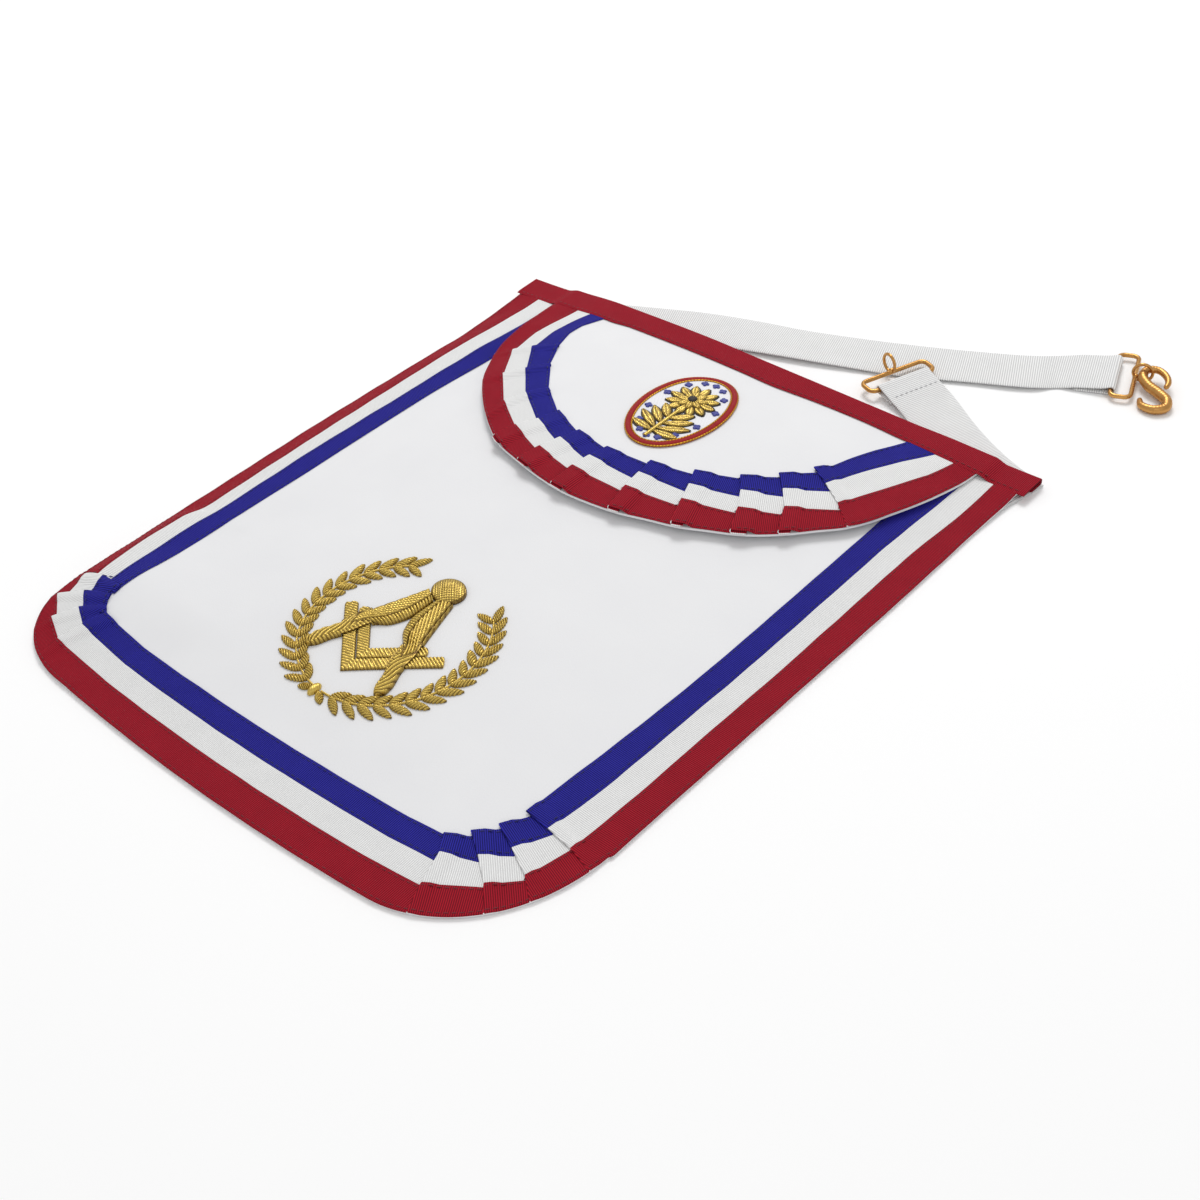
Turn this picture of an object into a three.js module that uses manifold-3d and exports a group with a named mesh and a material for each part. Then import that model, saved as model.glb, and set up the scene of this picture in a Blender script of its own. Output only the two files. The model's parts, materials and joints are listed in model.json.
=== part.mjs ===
// Ceremonial lambskin apron with a round flap, lying flat, waist edge towards +Y.
// Every sheet follows one height function, so all layers keep the same laps and clearances.
import * as THREE from "three";
import { mergeVertices } from "three/addons/utils/BufferGeometryUtils.js";
import Module from "manifold-3d";

const wasm = await Module();
wasm.setup();

// Sizes in millimetres. The apron's own frame has y = 0 near the waist edge and z = 0 on the table.
const FIT = 0.3; // clearance between pieces that touch
const REST = 0.5; // clearance of a piece that lies on a curved sheet
const PANEL = { thick: 1.4, left: -172, right: 177.5, top: -9.5, bottom: -415, bow: 4, margin: 1.2 };
const CORNER = { left: { rx: 72, ry: 63, power: 2.5 }, right: { rx: 70, ry: 80, power: 2 } };
const FLAP = { thick: 1.2, cx: 2.5, cy: -25, a: 150, b: 147, margin: 1.2, drift: 0.03 };
const TRIM = { thick: 1.0, width: 42, blue: 0.32, white: 0.64, seam: 0.0045, start: -26.6 };
const BINDING = { thick: 1.0, front: 15, back: 9, left: -173.5, right: 181.5 };
const STRAP = { thick: 1.2, width: 33 };
const WIRE = { radius: 1.3, length: 42, depth: 11, bend: 3.6, eye: 5.2, eyeRadius: 0.9 };
const EMBLEM = { x: 1.6, y: -304, rx: 49.5, low: 48, high: 57, pairs: 15, leaf: 10.6, leafWide: 3.9 };
const BADGE = { x: 1.4, y: -78, a: 26.5, b: 38, rim: 3.7, field: 1.2, border: 1.9 };

// Left side of the body panel: its edge wanders as the side droops.
const LEFT_EDGE = [
  { y: -420, x: -170.5 },
  { y: -300, x: -171 },
  { y: -165, x: -171.5 },
  { y: -95, x: -169.8 },
  { y: -58, x: -171 },
  { y: -28, x: -173 },
  { y: 0, x: -172.5 },
];

// Height of the body panel's top face. A row per section across the apron, from hem to waist.
// edge to blue step over the three ribbons of the drooping left side; flat is the resting border.
const RISE = [
  { y: -420, edge: 1.4, red: 1.4, white: 1.4, blue: 1.4, crown: 1.4, middle: 1.4, side: 1.4, flat: 1.4 },
  { y: -400, edge: 1.4, red: 1.9, white: 2.4, blue: 2.7, crown: 2.5, middle: 2.2, side: 1.6, flat: 1.4 },
  { y: -375, edge: 1.4, red: 4.8, white: 7.2, blue: 8.2, crown: 5.8, middle: 4.6, side: 2.1, flat: 1.4 },
  { y: -345, edge: 1.4, red: 8.8, white: 12.6, blue: 13.4, crown: 10, middle: 8.4, side: 2.7, flat: 1.4 },
  { y: -300, edge: 1.4, red: 10.4, white: 14.8, blue: 16, crown: 13, middle: 11.6, side: 3.2, flat: 1.4 },
  { y: -165, edge: 1.4, red: 8.6, white: 12.4, blue: 14.8, crown: 13.6, middle: 12.6, side: 3.8, flat: 1.4 },
  { y: -95, edge: 1.4, red: 9.2, white: 13, blue: 14.6, crown: 13.4, middle: 12.4, side: 4.2, flat: 1.4 },
  { y: -60, edge: 1.6, red: 6.6, white: 9.6, blue: 11, crown: 12.4, middle: 11.4, side: 4.6, flat: 1.6 },
  { y: -38, edge: 2.4, red: 4.8, white: 7, blue: 8, crown: 11, middle: 10.2, side: 5, flat: 2.6 },
  { y: -20, edge: 3.4, red: 4, white: 4.8, blue: 5.6, crown: 9.6, middle: 8.8, side: 5, flat: 4.3 },
  { y: 0, edge: 4, red: 4.3, white: 4.7, blue: 5.2, crown: 8.8, middle: 7.8, side: 4.8, flat: 4.3 },
];
const RISE_STEPS = { red: 14.6, white: 27, blue: 39.5 };
const RISE_X = { crown: -40, middle: 0, side: 132, flat: 152 };

// Folds of the flap's trim, left to right: angle round the flap from its left end,
// lean of the fold line, and the depth of the tuck at the inner and outer edge.
const FLAP_FOLDS = [
  { angle: 26, lean: -2, inner: 5, outer: 2 },
  { angle: 37, lean: -4, inner: 6, outer: 3 },
  { angle: 50, lean: -10, inner: 7, outer: 4 },
  { angle: 62, lean: -7, inner: 7, outer: 4 },
  { angle: 73, lean: -5, inner: 7, outer: 4 },
  { angle: 84, lean: -1, inner: 7, outer: 4 },
  { angle: 99, lean: 0, inner: 7, outer: 4 },
  { angle: 113, lean: 1, inner: 7, outer: 4 },
  { angle: 125, lean: 3, inner: 7, outer: 4 },
  { angle: 137, lean: 3, inner: 6, outer: 3 },
  { angle: 150, lean: -3, inner: 5, outer: 2 },
];

// Folds of the body's trim at its two lower corners: ends of the fold line and depth of the tuck.
const LEFT_FOLDS = [
  { ix: -136, iy: -352, ox: -168.6, oy: -355, inner: 4, outer: 1.6 },
  { ix: -133, iy: -361, ox: -165.6, oy: -376, inner: 4, outer: 1.6 },
  { ix: -128, iy: -368, ox: -153.6, oy: -396, inner: 4.5, outer: 2 },
  { ix: -120.5, iy: -372, ox: -132.5, oy: -408, inner: 5, outer: 2 },
];
const RIGHT_FOLDS = [
  { ix: 109, iy: -370, ox: 128, oy: -407.5, inner: 5, outer: 2 },
  { ix: 117, iy: -362.5, ox: 150, oy: -392.5, inner: 4.5, outer: 2 },
  { ix: 124, iy: -353, ox: 163.6, oy: -372, inner: 4, outer: 1.6 },
  { ix: 129, iy: -342.5, ox: 170.6, oy: -352, inner: 4, outer: 1.6 },
];

// Straps: a row per section from under the waist, with the middle of the webbing, its heading
// in degrees and the height of its under face at either edge.
const LONG_STRAP = [
  { x: -92, y: -21, heading: 26, left: 0.1, right: 0.1 },
  { x: -62, y: -3, heading: 30, left: 0.1, right: 0.1 },
  { x: -32, y: 14, heading: 25, left: 0.2, right: 1.2 },
  { x: 0, y: 27, heading: 20, left: 0.1, right: 2.4 },
  { x: 30, y: 37.5, heading: 20, left: 0.1, right: 1.8 },
  { x: 62, y: 50, heading: 23, left: 0.2, right: 0.6 },
  { x: 95, y: 65, heading: 25, left: 0.1, right: 1.4 },
  { x: 126, y: 80, heading: 26, left: 0.8, right: 1.6 },
];
const SHORT_STRAP = [
  { x: 168, y: -22, heading: 158, left: 0.1, right: 0.1 },
  { x: 146, y: -12, heading: 157, left: 0.1, right: 0.1 },
  { x: 120, y: 2, heading: 154, left: 0.2, right: 0.1 },
];
// lift raises the end where it lies on the other strap.
const LONG_END = { x: 162.3, y: 99.9, heading: 21.5, hem: 20, lift: 0 };
const SHORT_END = { x: 73.8, y: 26, heading: 159, hem: 13, lift: 2 };

// Cast hook: middle line of the S from the tip held in the eye to the free tail.
const HOOK = [
  { x: 28.1, y: -11.2, z: 5.2, r: 1.3 },
  { x: 29.1, y: -6, z: 5.8, r: 1.7 },
  { x: 27, y: 0, z: 6.4, r: 2.0 },
  { x: 22, y: 3.9, z: 6.8, r: 2.1 },
  { x: 16.8, y: 2.6, z: 6.9, r: 2.2 },
  { x: 15.3, y: -2.8, z: 6.3, r: 2.4 },
  { x: 18.5, y: -9, z: 5, r: 2.7 },
  { x: 25, y: -14.2, z: 3.9, r: 2.7 },
  { x: 30, y: -19.5, z: 3.1, r: 2.6 },
  { x: 30, y: -25.5, z: 2.7, r: 2.5 },
  { x: 24.5, y: -28.6, z: 2.6, r: 2.3 },
  { x: 18, y: -26, z: 2.4, r: 1.9 },
  { x: 15.7, y: -18.5, z: 1.9, r: 1.2 },
];

// Left compass leg in the emblem's frame, from the head down the outside and back up the inside.
const LEG = [
  { x: -9.2, y: 35.5 },
  { x: -14.6, y: 21 },
  { x: -19.6, y: 7.5 },
  { x: -26.5, y: -7.5 },
  { x: -30.6, y: -20 },
  { x: -30.2, y: -26 },
  { x: -24.2, y: -27 },
  { x: -18, y: -11.5 },
  { x: -10.6, y: 1.6 },
  { x: -4.8, y: 7.4 },
  { x: -1.2, y: 18 },
  { x: -0.4, y: 33 },
];
const HEAD = { x: 0.4, y: 41.7, radius: 9.5, tall: 4.2 };
const LEG_TALL = 3.4;
const SQUARE = { x: -0.5, y: -30.7, angle: 42, length: 49.5, outer: 7.2, inner: 7, short: 35, tall: 1.6 };

const root = new THREE.Group();
const finish = {
  leather: { color: 0xe8e8e8, roughness: 0.55, metalness: 0 },
  red: { color: 0xa81e2d, roughness: 0.8, metalness: 0 },
  white: { color: 0xefeff2, roughness: 0.8, metalness: 0 },
  blue: { color: 0x2c2c93, roughness: 0.8, metalness: 0 },
  webbing: { color: 0xe6e6e8, roughness: 0.85, metalness: 0 },
  bullion: { color: 0xc9a227, roughness: 0.45, metalness: 0.6 },
  gilt: { color: 0xc08a3e, roughness: 0.3, metalness: 1 },
};

const rad = THREE.MathUtils.degToRad;
const vec = (x, y, z = 0) => new THREE.Vector3(x, y, z);
const span = (n) => Array.from({ length: n + 1 }, (_, i) => i / n);
const ease = (a, b, x) => THREE.MathUtils.smoothstep((x - a) / (b - a), 0, 1);

// Value at x of the smooth curve through (xs, ys), with no overshoot between rows.
function through(xs, ys, x) {
  const last = xs.length - 1;
  if (x <= xs[0]) return ys[0];
  if (x >= xs[last]) return ys[last];
  const grade = (i) => (ys[i + 1] - ys[i]) / (xs[i + 1] - xs[i]);
  const slope = (i) => {
    if (i === 0 || i === last) return grade(Math.min(i, last - 1));
    const [a, b] = [grade(i - 1), grade(i)];
    return a * b <= 0 ? 0 : (2 * a * b) / (a + b);
  };
  const i = xs.findIndex((value) => value > x) - 1;
  const h = xs[i + 1] - xs[i];
  const t = (x - xs[i]) / h;
  const [t2, t3] = [t * t, t * t * t];
  return (
    (2 * t3 - 3 * t2 + 1) * ys[i] +
    (t3 - 2 * t2 + t) * h * slope(i) +
    (3 * t2 - 2 * t3) * ys[i + 1] +
    (t3 - t2) * h * slope(i + 1)
  );
}

const column = (rows, name) => rows.map((row) => row[name]);
const tableAt = (rows, name, y) => through(column(rows, "y"), column(rows, name), y);

const leftEdge = (y) => tableAt(LEFT_EDGE, "x", y);
const rightEdge = (y) => PANEL.right - 3 * ease(-150, -380, y) + 1.2 * ease(-60, -10, y);

// Top face of the body panel. The drooping side is straight across each ribbon, the rest is curved.
function bodyTop(x, y) {
  const edge = leftEdge(y);
  const droop = [edge, ...Object.values(RISE_STEPS).map((step) => edge + step)];
  const heights = (names) => names.map((name) => tableAt(RISE, name, y));
  if (x > droop[3]) {
    const xs = [droop[3], ...Object.values(RISE_X)];
    return through(xs, heights(["blue", "crown", "middle", "side", "flat"]), x);
  }
  const zs = heights(["edge", "red", "white", "blue"]);
  const i = Math.max(0, droop.findIndex((value) => value >= x) - 1);
  return THREE.MathUtils.mapLinear(Math.max(x, edge), droop[i], droop[i + 1], zs[i], zs[i + 1]);
}

// Lower outline of the body panel: a bowed hem with a superelliptical corner on each side.
function hemLine(x) {
  const bow = PANEL.bottom - PANEL.bow * Math.max(0, 1 - (x / 105) ** 2);
  const left = leftEdge(PANEL.bottom);
  const right = rightEdge(PANEL.bottom);
  const intoLeft = Math.max(0, left + CORNER.left.rx - x) / CORNER.left.rx;
  const intoRight = Math.max(0, x - right + CORNER.right.rx) / CORNER.right.rx;
  const lift = (into, { ry, power }) => ry * (1 - (1 - Math.min(1, into) ** power) ** (1 / power));
  return bow + lift(intoLeft, CORNER.left) + lift(intoRight, CORNER.right);
}

// Free edge of the flap: half an ellipse that hangs a little to the left.
const flapShift = (y) => FLAP.drift * (y + 60);
function flapPoint(angle, grow) {
  const x = FLAP.cx - (FLAP.a + grow) * Math.cos(angle);
  const y = FLAP.cy - (FLAP.b + grow) * Math.sin(angle);
  return vec(x + flapShift(y), y);
}

// Lift of the flap's top face over the body panel: low at the hinge, clear of the ribbons below.
function flapLift(x, y) {
  const ends = ease(98, 128, Math.abs(x - FLAP.cx));
  const hinge = FLAP.thick + FIT + ends * (TRIM.thick + REST + 0.1);
  const free = FLAP.thick + TRIM.thick + REST + 2 * FIT;
  const out = Math.hypot((x - FLAP.cx - flapShift(y)) / FLAP.a, (y - FLAP.cy) / FLAP.b);
  return THREE.MathUtils.lerp(hinge, free, ease(-22, -50, y)) + 1.4 * ease(0.6, 1, out) * ease(-30, -110, y);
}
const flapTop = (x, y) => bodyTop(x, y) + flapLift(x, y);

// Closed solid from rows of matching upper and lower points; a looped one joins last row to first.
function sheetSolid(rows, looped = false) {
  const points = [];
  const faces = [];
  const n = rows[0].upper.length;
  const m = 2 * n;
  for (const row of rows) points.push(...row.upper, ...[...row.lower].reverse());
  const steps = looped ? rows.length : rows.length - 1;
  for (let r = 0; r < steps; r += 1) {
    const next = ((r + 1) % rows.length) * m;
    for (let i = 0; i < m; i += 1) {
      const j = (i + 1) % m;
      faces.push([r * m + i, next + i, next + j], [r * m + i, next + j, r * m + j]);
    }
  }
  const caps = looped ? [] : [[0, false], [(rows.length - 1) * m, true]];
  for (const [base, flip] of caps) {
    for (let i = 0; i < n - 1; i += 1) {
      const quad = [base + i, base + i + 1, base + m - 2 - i, base + m - 1 - i];
      if (flip) quad.reverse();
      faces.push([quad[0], quad[1], quad[2]], [quad[0], quad[2], quad[3]]);
    }
  }
  return solidFrom(points, faces);
}

// Indexed geometry with its faces pointing out, whichever way they were listed.
function solidFrom(points, faces) {
  const volume = faces.reduce((sum, [a, b, c]) => {
    return sum + points[a].dot(points[b].clone().cross(points[c]));
  }, 0);
  const ordered = volume < 0 ? faces.map(([a, b, c]) => [a, c, b]) : faces;
  const geometry = new THREE.BufferGeometry();
  const flat = points.flatMap((p) => [p.x, p.y, p.z]);
  geometry.setAttribute("position", new THREE.Float32BufferAttribute(flat, 3));
  geometry.setIndex(ordered.flat());
  return geometry;
}

// Round bar along a line of points; radius may change from point to point.
function bar(line, radius, sides, looped = false) {
  const rings = [];
  const start = line[1].clone().sub(line[0]).normalize();
  let normal = Math.abs(start.z) > 0.7 ? vec(start.z, start.z, 0) : vec(0, 0, 1);
  line.forEach((point, i) => {
    const before = line[looped ? (i + line.length - 1) % line.length : Math.max(0, i - 1)];
    const after = line[looped ? (i + 1) % line.length : Math.min(line.length - 1, i + 1)];
    const tangent = after.clone().sub(before).normalize();
    normal = normal.sub(tangent.clone().multiplyScalar(normal.dot(tangent))).normalize();
    const side = tangent.clone().cross(normal);
    const r = typeof radius === "number" ? radius : radius[i];
    const at = (turn) =>
      point.clone().addScaledVector(normal, r * Math.cos(turn)).addScaledVector(side, r * Math.sin(turn));
    rings.push(span(sides).slice(0, sides).map((t) => at(2 * Math.PI * (t + 0.5 / sides))));
  });
  const half = sides / 2;
  return sheetSolid(
    rings.map((ring) => ({ upper: ring.slice(0, half), lower: ring.slice(half).reverse() })),
    looped,
  );
}

function toManifold(geometry) {
  const bare = geometry.clone();
  bare.deleteAttribute("normal");
  bare.deleteAttribute("uv");
  const merged = mergeVertices(bare, 1e-4);
  const vertProperties = new Float32Array(merged.attributes.position.array);
  return new wasm.Manifold(
    new wasm.Mesh({ numProp: 3, vertProperties, triVerts: new Uint32Array(merged.index.array) }),
  );
}

function fromManifold(solid) {
  const mesh = solid.getMesh();
  const geometry = new THREE.BufferGeometry();
  geometry.setAttribute("position", new THREE.BufferAttribute(new Float32Array(mesh.vertProperties), 3));
  geometry.setIndex(new THREE.BufferAttribute(new Uint32Array(mesh.triVerts), 1));
  return geometry;
}

const union = (geometries) =>
  fromManifold(geometries.map(toManifold).reduce((sum, next) => sum.add(next)));

// Flat relief laid on a sheet: each point is lifted by the sheet's height under it.
function drape(geometry, x, y, top, lift) {
  const position = geometry.attributes.position;
  for (let i = 0; i < position.count; i += 1) {
    const px = position.getX(i) + x;
    const py = position.getY(i) + y;
    position.setXYZ(i, px, py, position.getZ(i) + top(px, py) + lift);
  }
  return geometry;
}

function plate(outline, tall, hole) {
  const shape = new THREE.Shape(outline.map((p) => new THREE.Vector2(p.x, p.y)));
  if (hole) shape.holes.push(new THREE.Path(hole.map((p) => new THREE.Vector2(p.x, p.y))));
  return new THREE.ExtrudeGeometry(shape, { depth: tall, bevelEnabled: false });
}

function add(name, geometry, look) {
  const mesh = new THREE.Mesh(geometry, new THREE.MeshStandardMaterial(finish[look]));
  mesh.name = name;
  root.add(mesh);
}

// Body panel: columns close together over the drooping side and the corners.
function bodyPanel() {
  const across = [0, 0.008, 0.018, 0.037, 0.074, 0.111, 0.18, 0.27, 0.37, 0.47, 0.58, 0.7, 0.8, 0.868];
  const right = [0.928, 0.965, 0.986, 0.996, 1];
  const down = [0, 0.03, 0.07, 0.125, 0.21, 0.38, 0.55, 0.71, 0.79, 0.86, 0.92, 0.965, 1];
  const rows = down.map((v) => {
    const upper = [...across, ...right].map((u) => {
      const wide = THREE.MathUtils.lerp(-171.8, 176.8, u);
      const y = THREE.MathUtils.lerp(PANEL.top, hemLine(wide * 0.9985), v);
      const x = THREE.MathUtils.lerp(leftEdge(y), rightEdge(y), u);
      return vec(x, y, bodyTop(x, y));
    });
    return { upper, lower: upper.map((p) => vec(p.x, p.y, p.z - PANEL.thick)) };
  });
  return sheetSolid(rows);
}

function flapPanel() {
  const rows = span(22).map((t) => {
    const edge = flapPoint(Math.PI * (0.012 + 0.976 * t), FLAP.margin);
    const free = [0, 0.22, 0.5, 0.78, 1].map((v) => THREE.MathUtils.lerp(TRIM.start, edge.y, v));
    const upper = [PANEL.top, PANEL.top - 9, ...free].map((y) => vec(edge.x, y, flapTop(edge.x, y)));
    return { upper, lower: upper.map((p) => vec(p.x, p.y, p.z - FLAP.thick)) };
  });
  return sheetSolid(rows);
}

// Ribbon trim as a line of stations, each a straight line across the three ribbons. A knife fold
// goes in under the next length, comes back and goes on above it, one thickness plus FIT per layer.
const LAYER = TRIM.thick + FIT;
const line = (inner, outer, level = 0, tilt = 0) => ({ inner, outer, level, tilt });

function foldStations(inner, outer, along, tuck) {
  const out = outer.clone().sub(inner).normalize().multiplyScalar(1.2);
  const at = (k, extra, step) => [
    inner.clone().addScaledVector(along, k * tuck.inner + extra).addScaledVector(out, step),
    outer.clone().addScaledVector(along, k * tuck.outer + extra).addScaledVector(out, step * 0.5),
  ];
  return [
    line(...at(0, -1.2, 1), 0, 0),
    line(...at(1, 0, 1), 0, 0),
    line(...at(1, LAYER / 2, 0.75), 0.5, 90),
    line(...at(1, 0, 0.5), 1, 180),
    line(...at(0, 0, 0.5), 1, 180),
    line(...at(0, -LAYER / 2, 0.25), 1.5, 90),
    line(...at(0, 0, 0), 2, 0),
    line(...at(1, 1.4, 0), 2, 0),
    line(...at(1, 6.4, 0), 0, 0),
  ];
}

// One ribbon: the part of every station between two shares of the trim's width.
function ribbon(stations, top, from, to) {
  const half = TRIM.thick / 2;
  const rows = stations.map((station, i) => {
    const before = stations[Math.max(0, i - 1)];
    const after = stations[Math.min(stations.length - 1, i + 1)];
    const along = station.along ?? after.inner.clone().sub(before.inner).normalize();
    const tilt = rad(station.tilt);
    const edge = (share) => {
      const p = station.inner.clone().lerp(station.outer, share);
      p.z = top(p.x, p.y) + REST + half + station.level * LAYER;
      const push = along.clone().multiplyScalar(-half * Math.sin(tilt));
      push.z = half * Math.cos(tilt);
      return [p.clone().add(push), p.clone().sub(push)];
    };
    const [a, b] = [edge(from), edge(to)];
    return { upper: [a[0], b[0]], lower: [a[1], b[1]] };
  });
  return sheetSolid(rows);
}

function trimRibbons(prefix, stations, top) {
  const { blue, white, seam } = TRIM;
  add(`${prefix}_ribbon_blue`, ribbon(stations, top, 0, blue - seam), "blue");
  add(`${prefix}_ribbon_white`, ribbon(stations, top, blue + seam, white - seam), "white");
  add(`${prefix}_ribbon_red`, ribbon(stations, top, white + seam, 1), "red");
}

function withAlong(stations, along) {
  return stations.map((station) => ({ ...station, along }));
}

function flapTrim() {
  const width = (angle) => TRIM.width * (1 - 0.05 * Math.cos(2 * angle));
  const across = (angle, lean) => {
    const outer = flapPoint(angle, 0);
    const spin = Math.atan2(Math.sin(angle) * FLAP.a, Math.cos(angle) * FLAP.b) + lean;
    const inner = vec(outer.x + width(angle) * Math.cos(spin), outer.y + width(angle) * Math.sin(spin));
    return [inner, outer];
  };
  const stations = [
    line(vec(-105.5, TRIM.start), vec(-146.8, TRIM.start)),
    line(...across(rad(9), rad(-3))),
    line(...across(rad(18), rad(-2))),
  ];
  FLAP_FOLDS.forEach((fold, i) => {
    const [inner, outer] = across(rad(fold.angle), rad(fold.lean));
    const [n0, n1] = across(rad(fold.angle + 5), rad(fold.lean));
    const along = n0.add(n1).sub(inner).sub(outer).setZ(0).normalize();
    stations.push(...withAlong(foldStations(inner, outer, along, fold), along));
    const next = FLAP_FOLDS[i + 1];
    if (!next) stations.push(line(...across(rad(163), rad(2))), line(...across(rad(172), rad(3))));
  });
  stations.push(line(vec(112.5, TRIM.start), vec(153.6, TRIM.start)));
  trimRibbons("flap", stations, flapTop);
}

function bodyTrim() {
  const side = (edge, y, sign, wide) => line(vec(edge + sign * wide, y), vec(edge, y));
  const fold = (row, along) => {
    const tuck = { inner: row.inner, outer: row.outer };
    return withAlong(foldStations(vec(row.ix, row.iy), vec(row.ox, row.oy), along, tuck), along);
  };
  const stations = [
    ...[TRIM.start, -58, -80, -105, -140, -180, -220, -260, -300, -332].map((y) =>
      side(leftEdge(y) + 0.8, y, 1, 38.7),
    ),
  ];
  const turns = [-80, -62, -40, -18];
  LEFT_FOLDS.forEach((row, i) => stations.push(...fold(row, vec(Math.cos(rad(turns[i])), Math.sin(rad(turns[i]))))));
  for (const x of [-96, -60, -20, 20, 60, 92]) {
    const hem = hemLine(x) + PANEL.margin;
    stations.push(line(vec(x, hem + TRIM.width), vec(x, hem)));
  }
  const climbs = [22, 40, 62, 78];
  RIGHT_FOLDS.forEach((row, i) =>
    stations.push(...fold(row, vec(Math.cos(rad(climbs[i])), Math.sin(rad(climbs[i]))))),
  );
  for (const y of [-322, -290, -230, -165, -110, -80, -58, -38, TRIM.start]) {
    stations.push(side(rightEdge(y) - 0.8, y, -1, TRIM.width));
  }
  trimRibbons("body", stations, bodyTop);
}

// Waist binding: a folded strip whose front lies over flap and panel and whose back grips the panel.
function binding() {
  const { thick, front, back } = BINDING;
  const xs = span(30).map((t) => THREE.MathUtils.lerp(BINDING.left, BINDING.right, t));
  const rows = xs.map((x) => {
    const y = PANEL.top + FIT;
    const wave = 0.8 * Math.sin(x / 26) - 1.4 * ease(140, 170, Math.abs(x));
    const inFlap = 1 - ease(FLAP.a + 3, FLAP.a + 10, Math.abs(x - flapShift(y) - FLAP.cx));
    const over = (py) => bodyTop(x, py) + FIT + inFlap * (flapLift(x, py) + 0.1);
    const under = (py) => bodyTop(x, py) - PANEL.thick - FIT;
    const low = y - front - wave;
    const mid = y - front / 2;
    const inner = [
      vec(x, low, over(low)),
      vec(x, mid, over(mid)),
      vec(x, y, over(y)),
      vec(x, y, under(y)),
      vec(x, y - back, under(y - back)),
    ];
    const outer = [
      vec(x, low, inner[0].z + thick),
      vec(x, mid, inner[1].z + thick),
      vec(x, y + thick, inner[2].z + thick),
      vec(x, y + thick, inner[3].z - thick),
      vec(x, y - back, inner[4].z - thick),
    ];
    return { upper: outer, lower: inner };
  });
  return sheetSolid(rows);
}

// Webbing laid along its rows, then wrapped round the wire at its end and hemmed underneath.
function strap(rows, end) {
  const half = STRAP.width / 2;
  const heading = rad(end.heading);
  const along = vec(Math.cos(heading), Math.sin(heading));
  const side = vec(-along.y, along.x);
  const hub = vec(end.x, end.y);
  const wrap = WIRE.radius + FIT;
  const axis = STRAP.thick + FIT + wrap;
  const middle = STRAP.thick / 2;
  const laid = rows.map((row) => {
    const across = vec(-Math.sin(rad(row.heading)), Math.cos(rad(row.heading)));
    const edge = (sign, z) => vec(row.x, row.y, z).addScaledVector(across, sign * half);
    const lower = [edge(1, row.left), edge(-1, row.right)];
    return { upper: lower.map((p) => p.clone().setZ(p.z + STRAP.thick)), lower };
  });
  const section = [
    { s: -end.hem - 6, z: 0.9, a: 90 },
    { s: -end.hem, z: STRAP.thick * 1.5 + FIT + 0.1, a: 90 },
    { s: -wrap - 4, z: axis + 1, a: 96 },
    { s: 0, z: axis + wrap + middle, a: 90 },
    { s: (wrap + middle) * 0.75, z: axis + (wrap + middle) * 0.66, a: 40 },
    { s: wrap + middle, z: axis, a: 0 },
    { s: (wrap + middle) * 0.75, z: axis - (wrap + middle) * 0.66, a: -40 },
    { s: 0, z: axis - wrap - middle, a: -90 },
    { s: 1 - end.hem, z: middle + 0.1, a: -90 },
  ];
  const wrapped = section.map((point) => {
    const centre = hub.clone().addScaledVector(along, point.s).setZ(point.z + end.lift);
    const push = along.clone().multiplyScalar(middle * Math.cos(rad(point.a)));
    push.z = middle * Math.sin(rad(point.a));
    const edge = (sign, out) => centre.clone().addScaledVector(push, out).addScaledVector(side, sign * half);
    return { upper: [edge(1, 1), edge(-1, 1)], lower: [edge(1, -1), edge(-1, -1)] };
  });
  return sheetSolid([...laid, ...wrapped]);
}

// Wire slide with an eye soldered to the middle of its outer bar.
function slide(end, eye) {
  const heading = rad(end.heading);
  const along = vec(Math.cos(heading), Math.sin(heading));
  const side = vec(-along.y, along.x);
  const axis = STRAP.thick + FIT + WIRE.radius + FIT + end.lift;
  const place = (s, w, z) =>
    vec(end.x, end.y).addScaledVector(along, s).addScaledVector(side, w).setZ(axis + z);
  const half = WIRE.length / 2;
  const corner = (s, w, start) =>
    [0, 30, 60, 90].map((turn) => {
      const t = rad(start + turn);
      const ds = s + WIRE.bend * Math.cos(t);
      return place(ds, w + WIRE.bend * Math.sin(t), 0);
    });
  const r = WIRE.bend;
  const loop = [
    ...corner(WIRE.depth - r, half - r, 0),
    ...corner(r, half - r, 90),
    ...corner(r, -half + r, 180),
    ...corner(WIRE.depth - r, -half + r, 270),
  ];
  const ring = span(14)
    .slice(0, 14)
    .map((t) => {
      const turn = 2 * Math.PI * t;
      return place(
        WIRE.depth + eye.out + WIRE.eye * Math.cos(turn),
        0,
        eye.up + WIRE.eye * Math.sin(turn),
      );
    });
  return union([bar(loop, WIRE.radius, 8, true), bar(ring, WIRE.eyeRadius, 6, true)]);
}

function hook(end) {
  const heading = rad(end.heading);
  const curve = new THREE.CatmullRomCurve3(HOOK.map((p) => vec(p.x, p.y, p.z)), false, "centripetal");
  const steps = 36;
  const points = span(steps).map((t) => curve.getPoint(t));
  const sizes = span(steps).map((t) => {
    const at = t * (HOOK.length - 1);
    const i = Math.min(HOOK.length - 2, Math.floor(at));
    return THREE.MathUtils.lerp(HOOK[i].r, HOOK[i + 1].r, at - i);
  });
  const geometry = bar(points, sizes, 10);
  geometry.rotateZ(heading);
  geometry.translate(end.x, end.y, 0);
  return geometry;
}

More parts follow.
